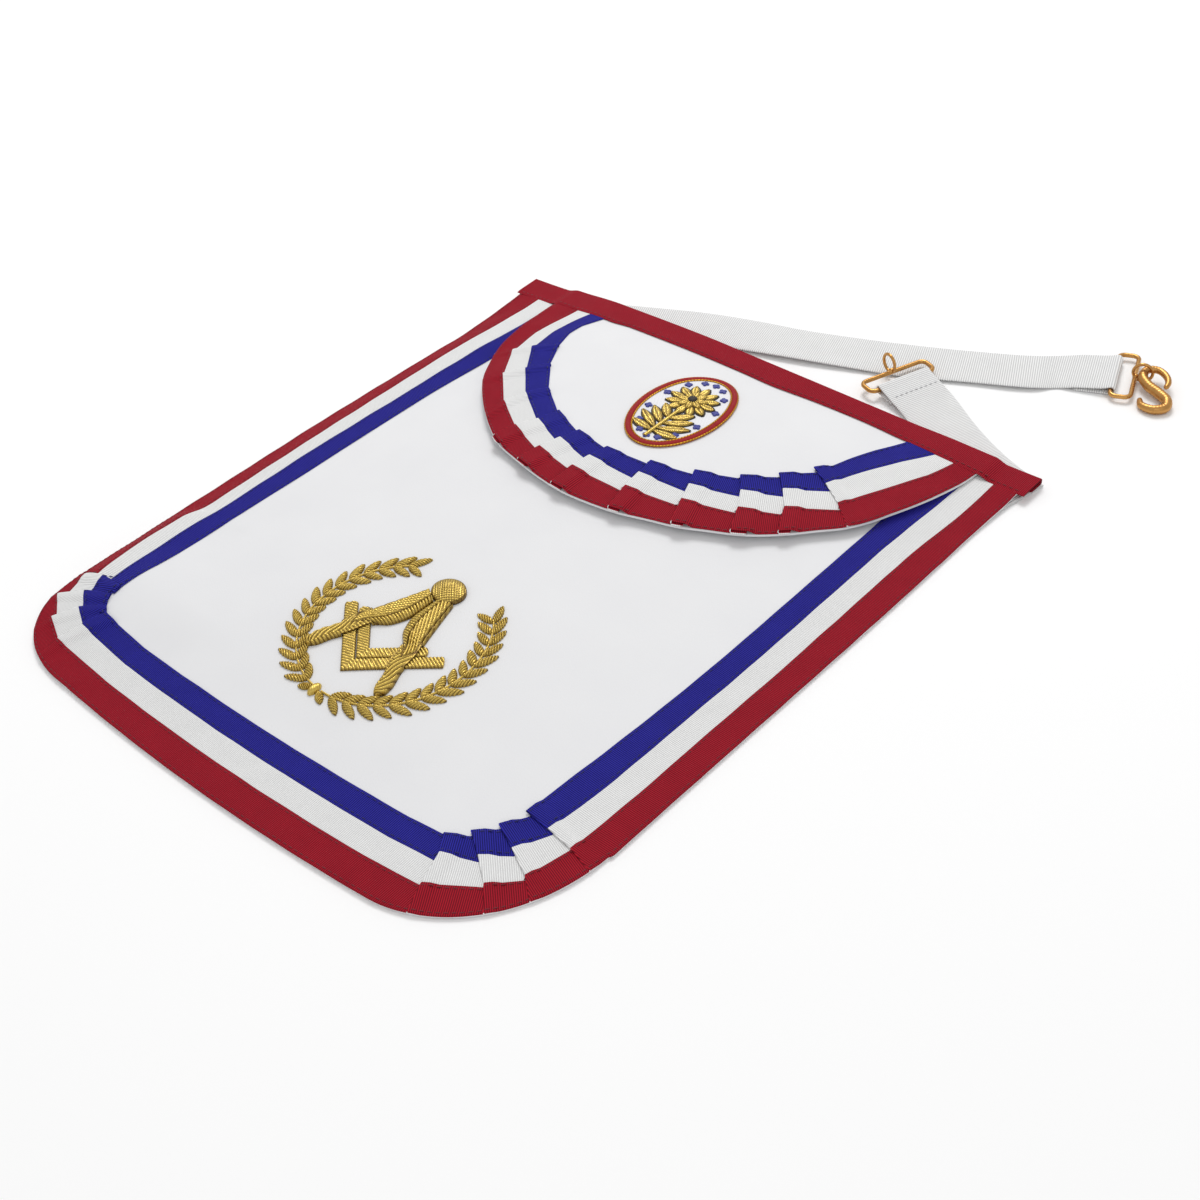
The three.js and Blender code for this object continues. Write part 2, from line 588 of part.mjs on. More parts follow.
// A leaf is a roof on a four-cornered base, its ridge running from stalk to tip.
function leaf(x, y, angle, length, wide) {
  const along = vec(Math.cos(angle), Math.sin(angle));
  const side = vec(-along.y, along.x);
  const at = (s, w, z) => vec(x, y).addScaledVector(along, s).addScaledVector(side, w).setZ(z);
  const belly = length * 0.52;
  const points = [at(0, 0, 0), at(belly, wide / 2, 0), at(length, 0, 0), at(belly, -wide / 2, 0)];
  points.push(at(length * 0.2, 0, 1.3), at(length * 0.78, 0, 1.5));
  const faces = [
    [0, 3, 2], [0, 2, 1], [0, 1, 4], [1, 5, 4], [1, 2, 5], [2, 3, 5], [3, 4, 5], [3, 0, 4],
  ];
  return solidFrom(points, faces);
}

// One spray of the wreath: a stem along the ellipse with a pair of leaves at each node.
function spray(sign) {
  const at = (turn) => {
    const tall = Math.cos(turn) > 0 ? EMBLEM.low : EMBLEM.high;
    return vec(sign * EMBLEM.rx * Math.sin(turn), -tall * Math.cos(turn));
  };
  const turns = span(EMBLEM.pairs - 1).map((t) => THREE.MathUtils.lerp(rad(13), rad(145), t));
  const stem = [rad(4), ...turns].map((turn) => at(turn).setZ(0.35));
  const parts = [bar(stem, 0.75, 4)];
  for (const turn of turns) {
    const p = at(turn);
    const ahead = at(turn + 0.02).sub(at(turn - 0.02)).normalize();
    const heading = Math.atan2(ahead.y, ahead.x);
    const base = p.clone().addScaledVector(ahead, -0.8);
    parts.push(leaf(base.x, base.y, heading + rad(38), EMBLEM.leaf, EMBLEM.leafWide));
    parts.push(leaf(base.x, base.y, heading - rad(38), EMBLEM.leaf, EMBLEM.leafWide));
  }
  return fromManifold(cutBelow(union(parts)));
}

// Take off whatever a round stem leaves below the sheet that carries it.
function cutBelow(geometry) {
  const slab = new THREE.BoxGeometry(200, 200, 4);
  slab.translate(0, 0, -2);
  return toManifold(geometry).subtract(toManifold(slab));
}

function squarePlate(grow, tall) {
  const { angle, length, outer, inner, short } = SQUARE;
  const arm = (sign) => {
    const heading = rad(90 - sign * (90 - angle));
    const along = vec(Math.cos(heading), Math.sin(heading));
    const up = vec(-sign * along.y, sign * along.x);
    const at = (s, w) => vec(SQUARE.x, SQUARE.y - grow * 1.4).addScaledVector(along, s).addScaledVector(up, w);
    const foot = Math.tan(rad(angle));
    const wide = outer + 2 * grow;
    const full = outer + inner + 2 * grow;
    const low = [at(0, 0), at(length / 2, 0), at(length + grow, 0), at(length + grow, wide)];
    return [...low, at(short + grow, wide), at(short + grow, full), at(full * foot, full)];
  };
  const right = arm(1);
  const left = arm(-1);
  return plate([...right, ...left.slice(1).reverse().slice(1)], tall);
}

function compasses() {
  const mirrored = LEG.map((p) => ({ x: 0.8 - p.x, y: p.y - (p.y < -18 ? 3 : 0) })).reverse();
  const disc = new THREE.CylinderGeometry(HEAD.radius - 1.6, HEAD.radius, HEAD.tall, 20);
  disc.rotateX(Math.PI / 2);
  disc.translate(HEAD.x, HEAD.y, HEAD.tall / 2);
  const whole = union([plate(LEG, LEG_TALL), plate(mirrored, LEG_TALL), disc]);
  return fromManifold(toManifold(whole).subtract(toManifold(squarePlate(FIT, SQUARE.tall + FIT))));
}

function emblem() {
  const lay = (geometry) => drape(geometry, EMBLEM.x, EMBLEM.y, bodyTop, REST);
  add("wreath_spray_left", lay(spray(-1)), "bullion");
  add("wreath_spray_right", lay(spray(1)), "bullion");
  const tie = new THREE.CylinderGeometry(1.2, 2.2, 2, 12);
  tie.rotateX(Math.PI / 2);
  tie.scale(1, 2, 1);
  tie.translate(0, -EMBLEM.low, 1);
  add("wreath_tie", lay(tie), "bullion");
  add("emblem_square", lay(squarePlate(0, SQUARE.tall)), "bullion");
  add("emblem_compasses", lay(compasses()), "bullion");
}

// Oval badge: a white field inside a satin border, with a rosette and two sprigs raised on it.
function badge() {
  const oval = (inset, n) =>
    span(n)
      .slice(0, n)
      .map((t) => ({
        x: (BADGE.a - inset) * Math.cos(2 * Math.PI * t),
        y: (BADGE.b - inset) * Math.sin(2 * Math.PI * t),
      }));
  const lay = (geometry, lift) => drape(geometry, BADGE.x, BADGE.y, flapTop, lift);
  add("badge_border", lay(plate(oval(0, 48), BADGE.border, oval(BADGE.rim, 48)), REST), "red");
  add("badge_field", lay(plate(oval(BADGE.rim + FIT, 48), BADGE.field), REST), "white");
  const rosette = span(32)
    .slice(0, 32)
    .map((t, i) => {
      const r = i % 2 ? 6.2 : 10.5;
      return { x: r * Math.sin(2 * Math.PI * t), y: 6 + r * Math.cos(2 * Math.PI * t) };
    });
  const stem = plate(
    [{ x: -1, y: -21 }, { x: 1, y: -21 }, { x: 1, y: 0 }, { x: -1, y: 0 }],
    1,
  );
  const leaves = [-19, -14, -9].flatMap((y, i) => [
    leaf(0.5, y, rad(28 + 8 * i), 13 - i, 4.6),
    leaf(-0.5, y, rad(152 - 8 * i), 13 - i, 4.6),
  ]);
  const motif = fromManifold(cutBelow(union([plate(rosette, 1.6), stem, ...leaves])));
  add("badge_motif", lay(motif, REST + BADGE.field + FIT), "bullion");
}

add("body_panel", bodyPanel(), "leather");
bodyTrim();
add("flap_panel", flapPanel(), "leather");
flapTrim();
add("top_binding", binding(), "red");
emblem();
badge();

add("strap_long", strap(LONG_STRAP, LONG_END), "webbing");
add("strap_short", strap(SHORT_STRAP, SHORT_END), "webbing");
add("hook_slide", slide(LONG_END, { out: 3.9, up: 3.4 }), "gilt");
add("eye_slide", slide(SHORT_END, { out: 3, up: 4.2 }), "gilt");
add("s_hook", hook(LONG_END), "gilt");

// Put the origin under the middle of the whole thing, on the table.
const box = new THREE.Box3().setFromObject(root);
const middle = box.getCenter(new THREE.Vector3());
root.position.set(-middle.x, -middle.y, -box.min.z);

export default root;
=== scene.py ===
"""Dressed model of a ceremonial apron lying flat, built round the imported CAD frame.

Shapes are worked out in millimetres in the part's own frame, where x runs along the waist,
y = 0 is near the waist edge and z = 0 is the table, and are moved to the scene frame at the end.
"""

import json
import logging
import math
from dataclasses import dataclass, field, replace
from enum import Enum
from typing import Any, Callable, Optional, Sequence

import bpy
import numpy as np
from mathutils import Matrix, Vector

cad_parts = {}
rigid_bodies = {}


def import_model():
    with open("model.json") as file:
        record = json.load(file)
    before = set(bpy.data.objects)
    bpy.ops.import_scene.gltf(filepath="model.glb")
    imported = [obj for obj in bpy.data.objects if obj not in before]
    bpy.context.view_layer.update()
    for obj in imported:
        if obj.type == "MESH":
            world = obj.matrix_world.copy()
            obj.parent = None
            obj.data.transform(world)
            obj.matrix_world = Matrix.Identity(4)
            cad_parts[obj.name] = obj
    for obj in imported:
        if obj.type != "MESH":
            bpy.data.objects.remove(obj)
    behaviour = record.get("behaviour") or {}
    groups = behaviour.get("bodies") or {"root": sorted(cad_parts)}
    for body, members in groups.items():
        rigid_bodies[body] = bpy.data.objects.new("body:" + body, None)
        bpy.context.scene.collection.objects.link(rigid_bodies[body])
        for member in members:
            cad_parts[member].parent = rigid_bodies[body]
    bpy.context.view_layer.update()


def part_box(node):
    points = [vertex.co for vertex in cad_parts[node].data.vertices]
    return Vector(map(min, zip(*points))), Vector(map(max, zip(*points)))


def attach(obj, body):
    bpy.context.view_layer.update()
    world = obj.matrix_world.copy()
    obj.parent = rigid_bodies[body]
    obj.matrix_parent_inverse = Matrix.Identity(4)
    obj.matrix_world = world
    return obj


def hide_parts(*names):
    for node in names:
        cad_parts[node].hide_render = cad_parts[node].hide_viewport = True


log = logging.getLogger("apron")

Array = np.ndarray
HeightOf = Callable[[Array, Array], Array]

MM = 0.001
FRAME_PX = 1200

# Left side of the body panel: its edge wanders as the side droops.
LEFT_EDGE = {
    "y": [-420, -340, -300, -250, -200, -150, -100, -80, -58, -28, 0],
    "x": [-170.5, -169.3, -169.8, -170.3, -170.8, -170.2, -169.2, -168.6, -169.4, -170.8, -172.5],
}

# Height of the body panel's top face: a column per line down the apron, a value per section.
RISE = {
    "y": [-420, -400, -375, -345, -318, -300, -285, -230, -150, -95, -60, -38, -20, 0],
    "edge": [1.4, 1.4, 1.4, 1.4, 1.4, 1.4, 1.4, 1.4, 1.4, 1.4, 1.6, 2.4, 3.4, 4],
    "red": [1.4, 1.9, 4.8, 8.6, 9, 8.6, 6.2, 6.4, 7, 7.4, 6, 5, 4.3, 4.2],
    "white": [1.4, 2.4, 7.2, 10.8, 10.4, 10.6, 9.9, 10.2, 9.4, 9.4, 7.6, 6.2, 5.2, 4.7],
    "blue": [1.4, 2.7, 8.2, 12.4, 10.4, 9.9, 10.5, 9.6, 9.6, 7.8, 7.6, 6.8, 5.9, 5.2],
    "shoulder": [1.4, 2.7, 7.2, 12.4, 12.9, 13.1, 13.2, 13, 12.8, 12.6, 12, 10.6, 8.8, 8],
    "crown": [1.4, 2.5, 5.8, 10, 12.2, 12.8, 13.2, 13.4, 13.5, 13.3, 12.3, 10.9, 9.6, 8.8],
    "middle": [1.4, 2.2, 4.6, 8.4, 10.6, 11.4, 11.9, 12.3, 12.6, 12.4, 11.4, 10.2, 8.8, 7.8],
    "side": [1.4, 1.6, 2.1, 2.7, 3, 3.15, 3.3, 3.6, 3.9, 4.2, 4.6, 5, 5, 4.8],
    "flat": [1.4, 1.4, 1.4, 1.4, 1.4, 1.4, 1.4, 1.4, 1.4, 1.4, 1.6, 2.6, 4.3, 4.3],
}

# Free edge of the flap, from its left end round to its right end.
FLAP_EDGE = {
    "x": [-141, -136.6, -133.1, -127.5, -121.7, -107.5, -90.2, -71.3, -55.5, -39.8, -16, -2, 17,
          31, 48.4, 62.6, 75.2, 91, 108.3, 117.7, 127.2, 133.5, 138.2, 144.5, 149.2, 154.2],
    "y": [-20, -50, -70, -90, -100.8, -122, -139.4, -153.9, -163, -167.4, -172.1, -173.3,
          -171.7, -169, -163, -158, -151.2, -142.2, -126.8, -115.8, -104.8, -93.7, -81.1, -62.2,
          -43.3, -20],
}

# Seams between the ribbons down the two straight sides: x of each line at some heights.
LEFT_SEAMS = {
    "y": [-20, -50, -75, -105, -155, -205, -255, -280, -300, -315, -335],
    "inner": [-131, -128.5, -128, -129.4, -130.1, -130.7, -130.6, -130.4, -131, -130.9, -130.3],
    "blue": [-142.5, -140.6, -140.4, -141.6, -142.5, -143.2, -143.1, -142.9, -143.6, -143.6,
             -143.3],
    "white": [-155.6, -153.6, -153.8, -154.9, -155.6, -155.9, -155.6, -155, -156.2, -156.8, -156.6],
}
RIGHT_SEAMS = {
    "y": [-20, -60, -100, -200, -250, -300, -330],
    "inner": [135.8, 134.8, 134.8, 134.8, 133.7, 130.9, 128.7],
    "blue": [151, 149, 147.4, 147.4, 146.4, 145.4, 143.4],
    "white": [164, 162.4, 160, 160, 159, 158.4, 157.2],
}

# Knife pleats. Each row is the leading edge of the length that lies on top, where the seams
# and the outer edge start on it: inner, blue, white and outer x and y. Then how much further
# out the length below has its inner, blue and white seams, and the tuck at inner and outer edge.
FLAP_FOLDS = [
    (-96.5, -70.5, -108.7, -80.4, -117.7, -87.4, -125.6, -96, 0, -1, -1, 0.8, 0.6),
    (-86.5, -88.5, -94.1, -101.3, -100.9, -112.6, -107, -122.5, 0, -1, -1, 0.8, 1),
    (-69.5, -108, -76.8, -119, -80.7, -132.3, -80.7, -148, 0, 0, 0, 1.5, 2.5),
    (-50, -121, -53.5, -134, -59, -146, -61, -160, 0.6, 0.6, 0, 6.5, 6),
    (-28.5, -128.3, -32, -139.8, -35, -152.7, -36, -169, 1.2, 2.8, 2.4, 7, 7),
    (-7, -130.3, -9, -142.2, -9.8, -154.8, -8, -173, 1.3, 3.3, 3, 7, 6),
    (18.9, -125.5, 20.5, -137, 23, -150.5, 28, -169, 2.5, 5.5, 4, 7, 5),
    (41.6, -117, 47, -128.3, 52, -140.5, 60, -158, 2.8, 5.8, 5, 7, 5),
    (62.5, -105.5, 70.3, -115.3, 78, -127.3, 86.5, -144.5, 2, 4.6, 3.8, 7, 7),
    (76.7, -91.5, 86, -100.5, 95.5, -112, 105, -130, 2.5, 5.8, 5.6, 6, 5),
    (87.5, -76, 100, -83, 114, -92, 127, -103, 3.5, 5.8, 5, 5, 0.8),
]
LEFT_FOLDS = [
    (-131.5, -358, -149, -356.5, -163.5, -358.5, -169.3, -357.5, 0, -6.5, -9, 4, 0.4),
    (-132, -364, -148.5, -368.8, -163.2, -376, -166.5, -378, 0, -3.6, -6, 4, 0.4),
    (-127.5, -370, -140.6, -378, -149.8, -389, -153.5, -399.5, 0, -2, -2.6, 4.5, 0.4),
    (-123.5, -373, -129, -384.4, -134, -396.6, -133, -410, 0, -0.4, -0.4, 5, 0.4),
]
RIGHT_FOLDS = [
    (109, -369.5, 115, -378, 120.5, -394.3, 127, -410, 0, 4.5, 0.8, 5, 0.4),
    (117.3, -361.5, 129, -369.2, 141.5, -378.5, 150, -388, 2.5, 3.2, 1.6, 4.5, 0.4),
    (124.2, -351.5, 137.5, -357.5, 151.5, -364.5, 160, -372, 2, 3.8, 2.2, 4, 0.4),
    (128.3, -339, 142, -340, 156.5, -342, 172, -346, 2.6, 3.4, 0.2, 4, 0.4),
]
# Ways in which the corner lengths run on from their pleats, in degrees from +x.
LEFT_TURNS = [-86, -64, -38, -16]
RIGHT_TURNS = [24, 44, 64, 80]

# Straps from under the waist: middle of the webbing, heading, and height of either edge.
LONG_STRAP = {
    "x": [-150, -117, -88, -59, -29, 0, 30, 62, 95, 126],
    "y": [-32, -17, -3.5, 9.4, 19, 27, 37.5, 50, 65, 80],
    "heading": [24, 25, 24.5, 21, 16.5, 17.5, 20.5, 23, 25, 26],
    "left": [0.1, 0.1, 0.1, 0.1, 0.2, 0.1, 0.1, 0.2, 0.1, 0.8],
    "right": [0.1, 0.1, 0.1, 0.1, 1.2, 2.4, 1.8, 0.6, 1.4, 1.6],
}
SHORT_STRAP = {
    "x": [179, 146, 120],
    "y": [-24, -12, 2],
    "heading": [168, 157, 154],
    "left": [0.1, 0.1, 0.2],
    "right": [0.1, 0.1, 0.1],
}

# Front edge of the waist binding: y at some places along it.
BINDING_EDGE = {
    "x": [-173, -150, -120, -95, -80, 0, 20, 50, 80, 110, 150, 181],
    "y": [-26, -27, -28, -28.4, -26.6, -26.3, -26.8, -24.6, -23.6, -24.6, -26, -26],
}

# Cast hook: middle line of the S from the tip in the eye to the free tail, and its radius.
HOOK = {
    "x": [28.1, 29.1, 27, 22, 16.8, 15.3, 18.5, 25, 30, 30, 24.5, 18, 15.7],
    "y": [-11.2, -6, 0, 3.9, 2.6, -2.8, -9, -14.2, -19.5, -25.5, -28.6, -26, -18.5],
    "z": [5.2, 5.8, 6.4, 6.8, 6.9, 6.3, 5, 3.9, 3.1, 2.7, 2.6, 2.4, 1.9],
    "r": [1.3, 1.7, 1.9, 2.0, 2.2, 2.6, 2.9, 3.0, 2.9, 2.7, 2.5, 2.1, 1.3],
}

# Left compass leg: matching points down its outer and its inner side.
LEG = {
    "ox": [-8.8, -13, -18.2, -21.6, -23.4, -27.6, -28.3, -26.2],
    "oy": [36.5, 24.5, 10, 0.8, -8.5, -18.5, -23.3, -27],
    "ix": [-0.5, -0.3, -4, -11, -14.5, -19, -21.2, -24.4],
    "iy": [32, 20, 8.8, 1.8, -8.5, -17.5, -23.5, -27.3],
}


def ease(start: float, end: float, value: Array) -> Array:
    """Smooth step from 0 at start to 1 at end: 3t^2 - 2t^3 of the share t of the way."""
    t = np.clip((np.asarray(value, float) - start) / (end - start), 0, 1)
    return t * t * (3 - 2 * t)


def hermite(t: Array, h: Array, ends: Sequence[Array], slopes: Sequence[Array]) -> Array:
    """Cubic piece with a given value and slope at each end.

    The values are weighed by 2t^3 - 3t^2 + 1 and 3t^2 - 2t^3, and the slopes by
    t^3 - 2t^2 + t and t^3 - t^2, times the piece's length.

    Args:
        t: Share of the way along the piece.
        h: Length of the piece.
        ends: Values at its start and its end.
        slopes: Slopes there.

    Returns:
        The values at t.
    """
    t2 = t * t
    t3 = t2 * t
    return (
        (2 * t3 - 3 * t2 + 1) * ends[0]
        + (t3 - 2 * t2 + t) * h * slopes[0]
        + (3 * t2 - 2 * t3) * ends[1]
        + (t3 - t2) * h * slopes[1]
    )


def through(xs: Any, ys: Any, at: Array) -> Array:
    """Value at some places of the smooth curve through some knots.

    Each span is a cubic Hermite piece. The slope at a knot is the harmonic mean of the grades
    on its two sides, or zero at a peak, so the curve never overshoots.

    Args:
        xs: Knots, one row each; a row may hold one value or a value per place.
        ys: Values at the knots, in the same form.
        at: Places to read the curve at.

    Returns:
        The values, in the form of at.
    """
    at = np.asarray(at, float)
    x = at.ravel()
    count = len(xs)
    knots = np.broadcast_to(np.asarray(xs, float).reshape(count, -1), (count, x.size))
    values = np.broadcast_to(np.asarray(ys, float).reshape(count, -1), (count, x.size))
    step = np.diff(knots, axis=0)
    grade = np.diff(values, axis=0) / step
    product = grade[:-1] * grade[1:]
    total = np.where(product > 0, grade[:-1] + grade[1:], 1)
    inner = np.where(product > 0, 2 * product / total, 0)
    slope = np.vstack([grade[:1], inner, grade[-1:]])
    x = np.clip(x, knots[0], knots[-1])
    i = np.clip((knots <= x).sum(axis=0) - 1, 0, count - 2)
    col = np.arange(x.size)
    h = step[i, col]
    t = (x - knots[i, col]) / h
    ends, slopes = ([v[i, col], v[i + 1, col]] for v in (values, slope))
    return hermite(t, h, ends, slopes).reshape(at.shape)


def unit(v: Array) -> Array:
    """Vectors along the last axis, brought to length one."""
    return v / np.maximum(np.linalg.norm(v, axis=-1, keepdims=True), 1e-9)


def lerp(a: Array, b: Array, t: Array) -> Array:
    """Straight mix of a and b by the share t."""
    return a + (b - a) * t


def heading_of(degrees: float) -> Array:
    """Unit vector in the plane at that many degrees from +x."""
    return np.array([math.cos(math.radians(degrees)), math.sin(math.radians(degrees))])


def full_turn(count: int) -> Array:
    """Angles in radians, evenly round a full circle."""
    return np.linspace(0, 2 * np.pi, count, endpoint=False)


def rays(angles: Array) -> Array:
    """Unit vectors in the plane at those angles in radians from +x."""
    return np.stack([np.cos(angles), np.sin(angles)], axis=-1)


def smooth_path(points: Array, count: int) -> Array:
    """Smooth curve through points, by the distance along them.

    The slope at a knot is the mean of the grades on its two sides, each weighted by the
    length of the other side.

    Args:
        points: Knots; distances are taken over their first three columns.
        count: How many points to return.

    Returns:
        Points of the curve, evenly apart.
    """
    gaps = np.linalg.norm(np.diff(points[:, :3], axis=0), axis=1)
    along = np.concatenate([[0], np.cumsum(gaps)])
    grade = np.diff(points, axis=0) / gaps[:, None]
    before, after = gaps[:-1, None], gaps[1:, None]
    inner = (after * grade[:-1] + before * grade[1:]) / (before + after)
    slope = np.vstack([grade[:1], inner, grade[-1:]])
    at = np.linspace(0, along[-1], count)
    i = np.clip(np.searchsorted(along, at, side="right") - 1, 0, len(gaps) - 1)
    h = gaps[i][:, None]
    t = (at - along[i])[:, None] / h
    return hermite(t, h, (points[i], points[i + 1]), (slope[i], slope[i + 1]))


def raised(plan: Array, height: Any) -> Array:
    """Points of a plan with their height as a third value."""
    z = np.broadcast_to(height, plan.shape[:-1])
    return np.concatenate([plan, z[..., None]], axis=-1)


def arc_length(points: Array) -> Array:
    """Distance along a line of points, starting from 0."""
    gaps = np.linalg.norm(np.diff(points, axis=0), axis=-1)
    return np.concatenate([[0], np.cumsum(gaps)])


def pairs(along: Array, across: Array) -> Array:
    """Grid of uv pairs from the values along its rows and across its columns."""
    return np.stack(np.meshgrid(along, across, indexing="ij"), axis=-1)


@dataclass
class Shape:
    """A mesh as arrays: points in the part's millimetres, quads, triangles, a uv pair in
    millimetres for each point, a finish number for each quad and then each triangle, and
    for each point how proud of its neighbours it stands, from 0 in a gap to 1 on a crown,
    which the purl finish paints as shade in the gaps."""

    points: Array
    quads: Array
    tris: Array
    uv: Array
    slots: Array
    proud: Optional[Array] = None

    def volume(self) -> float:
        """Signed volume, the sum of each triangle's tetrahedron to the origin."""
        a, b, c, d = (self.points[self.quads[:, i]] for i in range(4))
        total = np.einsum("ij,ij->", a, np.cross(b, c))
        total += np.einsum("ij,ij->", a, np.cross(c, d))
        a, b, c = (self.points[self.tris[:, i]] for i in range(3))
        return (total + np.einsum("ij,ij->", a, np.cross(b, c))) / 6

    def outward(self) -> "Shape":
        """The same closed mesh with its faces pointing out."""
        if self.volume() < 0:
            self.quads = self.quads[:, ::-1]
            self.tris = self.tris[:, ::-1]
        return self

    def prouds(self) -> Array:
        """The proud values, or an even 0.75 where none were given."""
        return np.full(len(self.points), 0.75) if self.proud is None else self.proud

    def moved(self, x: float, y: float) -> "Shape":
        """A copy shifted in the plane by that much."""
        return replace(self, points=self.points + np.array([x, y, 0.0]))

    def turned(self, degrees: float) -> "Shape":
        """A copy turned about z, anticlockwise."""
        cos, sin = heading_of(degrees)
        x, y, z = self.points.T
        return replace(self, points=np.stack([x * cos - y * sin, x * sin + y * cos, z], axis=-1))

    def draped(self, top: HeightOf, lift: float) -> "Shape":
        """A copy laid on a sheet: each point rises by the sheet's height under it."""
        points = self.points.copy()
        points[:, 2] += top(points[:, 0], points[:, 1]) + lift
        return replace(self, points=points)


NO_TRIS = np.zeros((0, 3), int)


def joined(shapes: Sequence[Shape]) -> Shape:
    """Several meshes as one, each body kept apart."""
    starts = np.cumsum([0] + [len(s.points) for s in shapes])[:-1]
    return Shape(
        np.concatenate([s.points for s in shapes]),
        np.concatenate([s.quads + n for s, n in zip(shapes, starts)]),
        np.concatenate([s.tris + n for s, n in zip(shapes, starts)]),
        np.concatenate([s.uv for s in shapes]),
        np.concatenate(
            [s.slots[: len(s.quads)] for s in shapes] + [s.slots[len(s.quads) :] for s in shapes]
        ),
        np.concatenate([s.prouds() for s in shapes]),
    )


def grid_quads(rows: int, cols: int, loop_rows: bool = False, loop_cols: bool = False) -> Array:
    """Quads of a grid of points, row by row.

    Args:
        rows: Number of rows.
        cols: Points in a row.
        loop_rows: Whether the last row joins the first.
        loop_cols: Whether the last column joins the first.

    Returns:
        Four point numbers for each quad.
    """
    r = np.arange(rows if loop_rows else rows - 1)
    c = np.arange(cols if loop_cols else cols - 1)
    r, c = np.meshgrid(r, c, indexing="ij")
    r2, c2 = (r + 1) % rows, (c + 1) % cols
    corners = [r * cols + c, r * cols + c2, r2 * cols + c2, r2 * cols + c]
    return np.stack(corners, axis=-1).reshape(-1, 4)


def fans(count: int, base: int, first: int, last: int) -> Array:
    """Triangles that close a stack of rings at both ends.

    Args:
        count: Points in a ring.
        base: Number of the last ring's first point.
        first: Number of the point that closes the first ring.
        last: Number of the point that closes the last ring.

    Returns:
        Three point numbers for each triangle.
    """
    i = np.arange(count)
    j = (i + 1) % count
    start = np.stack([j, i, np.full(count, first)], -1)
    end = np.stack([base + i, base + j, np.full(count, last)], -1)
    return np.concatenate([start, end])


def slab(
    upper: Array,
    lower: Array,
    uv: Array,
    loop: bool = False,
    rim: Any = 0,
    wrap: int = 0,
    proud: Optional[Array] = None,
) -> Shape:
    """Closed sheet between two matching grids of points, joined along its edges.

    Args:
        upper: Points of the top face, rows by columns by 3.
        lower: Points of the bottom face in the same order.
        uv: Millimetre coordinates, rows by columns by 2.
        loop: Whether the last row meets the first.
        rim: Finish number of the edge along the last column, or one for each of its steps.
        wrap: How many columns next to that edge have its finish too, above and below.
        proud: How proud each point of the top face stands, or none.

    Returns:
        The closed mesh, facing out.
    """
    rows, cols = upper.shape[:2]
    n = rows * cols
    top = grid_quads(rows, cols, loop_rows=loop)
    index = np.arange(n).reshape(rows, cols)
    nearer, further = index, np.roll(index, -1, axis=0)
    if not loop:
        nearer, further = index[:-1], index[1:]

    def wall(a: Array, b: Array) -> Array:
        """Quads from the line a to b on top down to the same line below."""
        return np.stack([a, b, b + n, a + n], -1)

    first, last = wall(nearer[:, 0], further[:, 0]), wall(further[:, -1], nearer[:, -1])
    parts = [top, top[:, ::-1] + n, first, last]
    edge = np.broadcast_to(rim, (len(last),))
    face = np.zeros((len(last), cols - 1), int)
    if wrap:
        face[:, -wrap:] = edge[:, None]
    slots = [face.ravel(), face.ravel(), np.zeros(len(first), int), edge]
    if not loop:
        parts += [wall(index[0, 1:], index[0, :-1]), wall(index[-1, :-1], index[-1, 1:])]
        slots += [np.zeros(2 * (cols - 1), int)]
    points = np.concatenate([upper.reshape(-1, 3), lower.reshape(-1, 3)])
    uv = np.tile(uv.reshape(-1, 2), (2, 1))
    proud = None if proud is None else np.tile(np.ravel(proud), 2)
    quads, slots = np.concatenate(parts), np.concatenate(slots)
    return Shape(points, quads, NO_TRIS, uv, slots, proud).outward()


def relief(plan: Array, height: Array, floor: Any = 0.0, proud: Optional[Array] = None) -> Shape:
    """Closed low relief on a plan grid: top face at height, bottom face at floor.

    Args:
        plan: Grid of x and y.
        height: Height of the top face at each point.
        floor: Height of the bottom face, one or a grid.
        proud: How proud of its neighbours each point stands, or none.

    Returns:
        The closed mesh. Its uv runs in millimetres along the plan's middle row and column.
    """
    along = arc_length(plan[:, plan.shape[1] // 2])
    across = arc_length(plan[plan.shape[0] // 2])
    return slab(raised(plan, height), raised(plan, floor), pairs(along, across), proud=proud)


def tube(
    path: Array, radius: Any, sides: int, up: Sequence[float] = (0, 0, 1), closed: bool = False
) -> Shape:
    """Round bar along a path: at each step a ring of that radius across the path's direction.

    Args:
        path: Points of the middle line, n by 3.
        radius: One radius, or one for each point.
        sides: Points in a ring.
        up: A direction that the path never takes, which keeps the rings from twisting.
        closed: Whether the path is a loop; an open one is capped.

    Returns:
        The closed mesh, with the length along it and the way round it as uv.
    """
    if closed:
        tangent = unit(np.roll(path, -1, axis=0) - np.roll(path, 1, axis=0))
    else:
        tangent = unit(np.gradient(path, axis=0))
    side = unit(np.cross(np.asarray(up, float), tangent))
    normal = np.cross(tangent, side)
    turn = full_turn(sides)
    r = np.broadcast_to(np.asarray(radius, float), (len(path),))[:, None, None]
    ring = side[:, None] * np.cos(turn)[:, None] + normal[:, None] * np.sin(turn)[:, None]
    points = (path[:, None] + r * ring).reshape(-1, 3)
    along = np.repeat(arc_length(path), sides)
    around = np.tile(turn, len(path)) * np.repeat(r.ravel(), sides)
    uv = np.stack([along, around], axis=-1)
    quads = grid_quads(len(path), sides, loop_rows=closed, loop_cols=True)
    tris = NO_TRIS
    if not closed:
        ends = np.array([path[0], path[-1]])
        n = len(points)
        points = np.concatenate([points, ends])
        uv = np.concatenate([uv, [[along[0], 0], [along[-1], 0]]])
        tris = fans(sides, n - sides, n, n + 1)
    shape = Shape(points, quads, tris, uv, np.zeros(len(quads) + len(tris), int))
    return shape.outward()


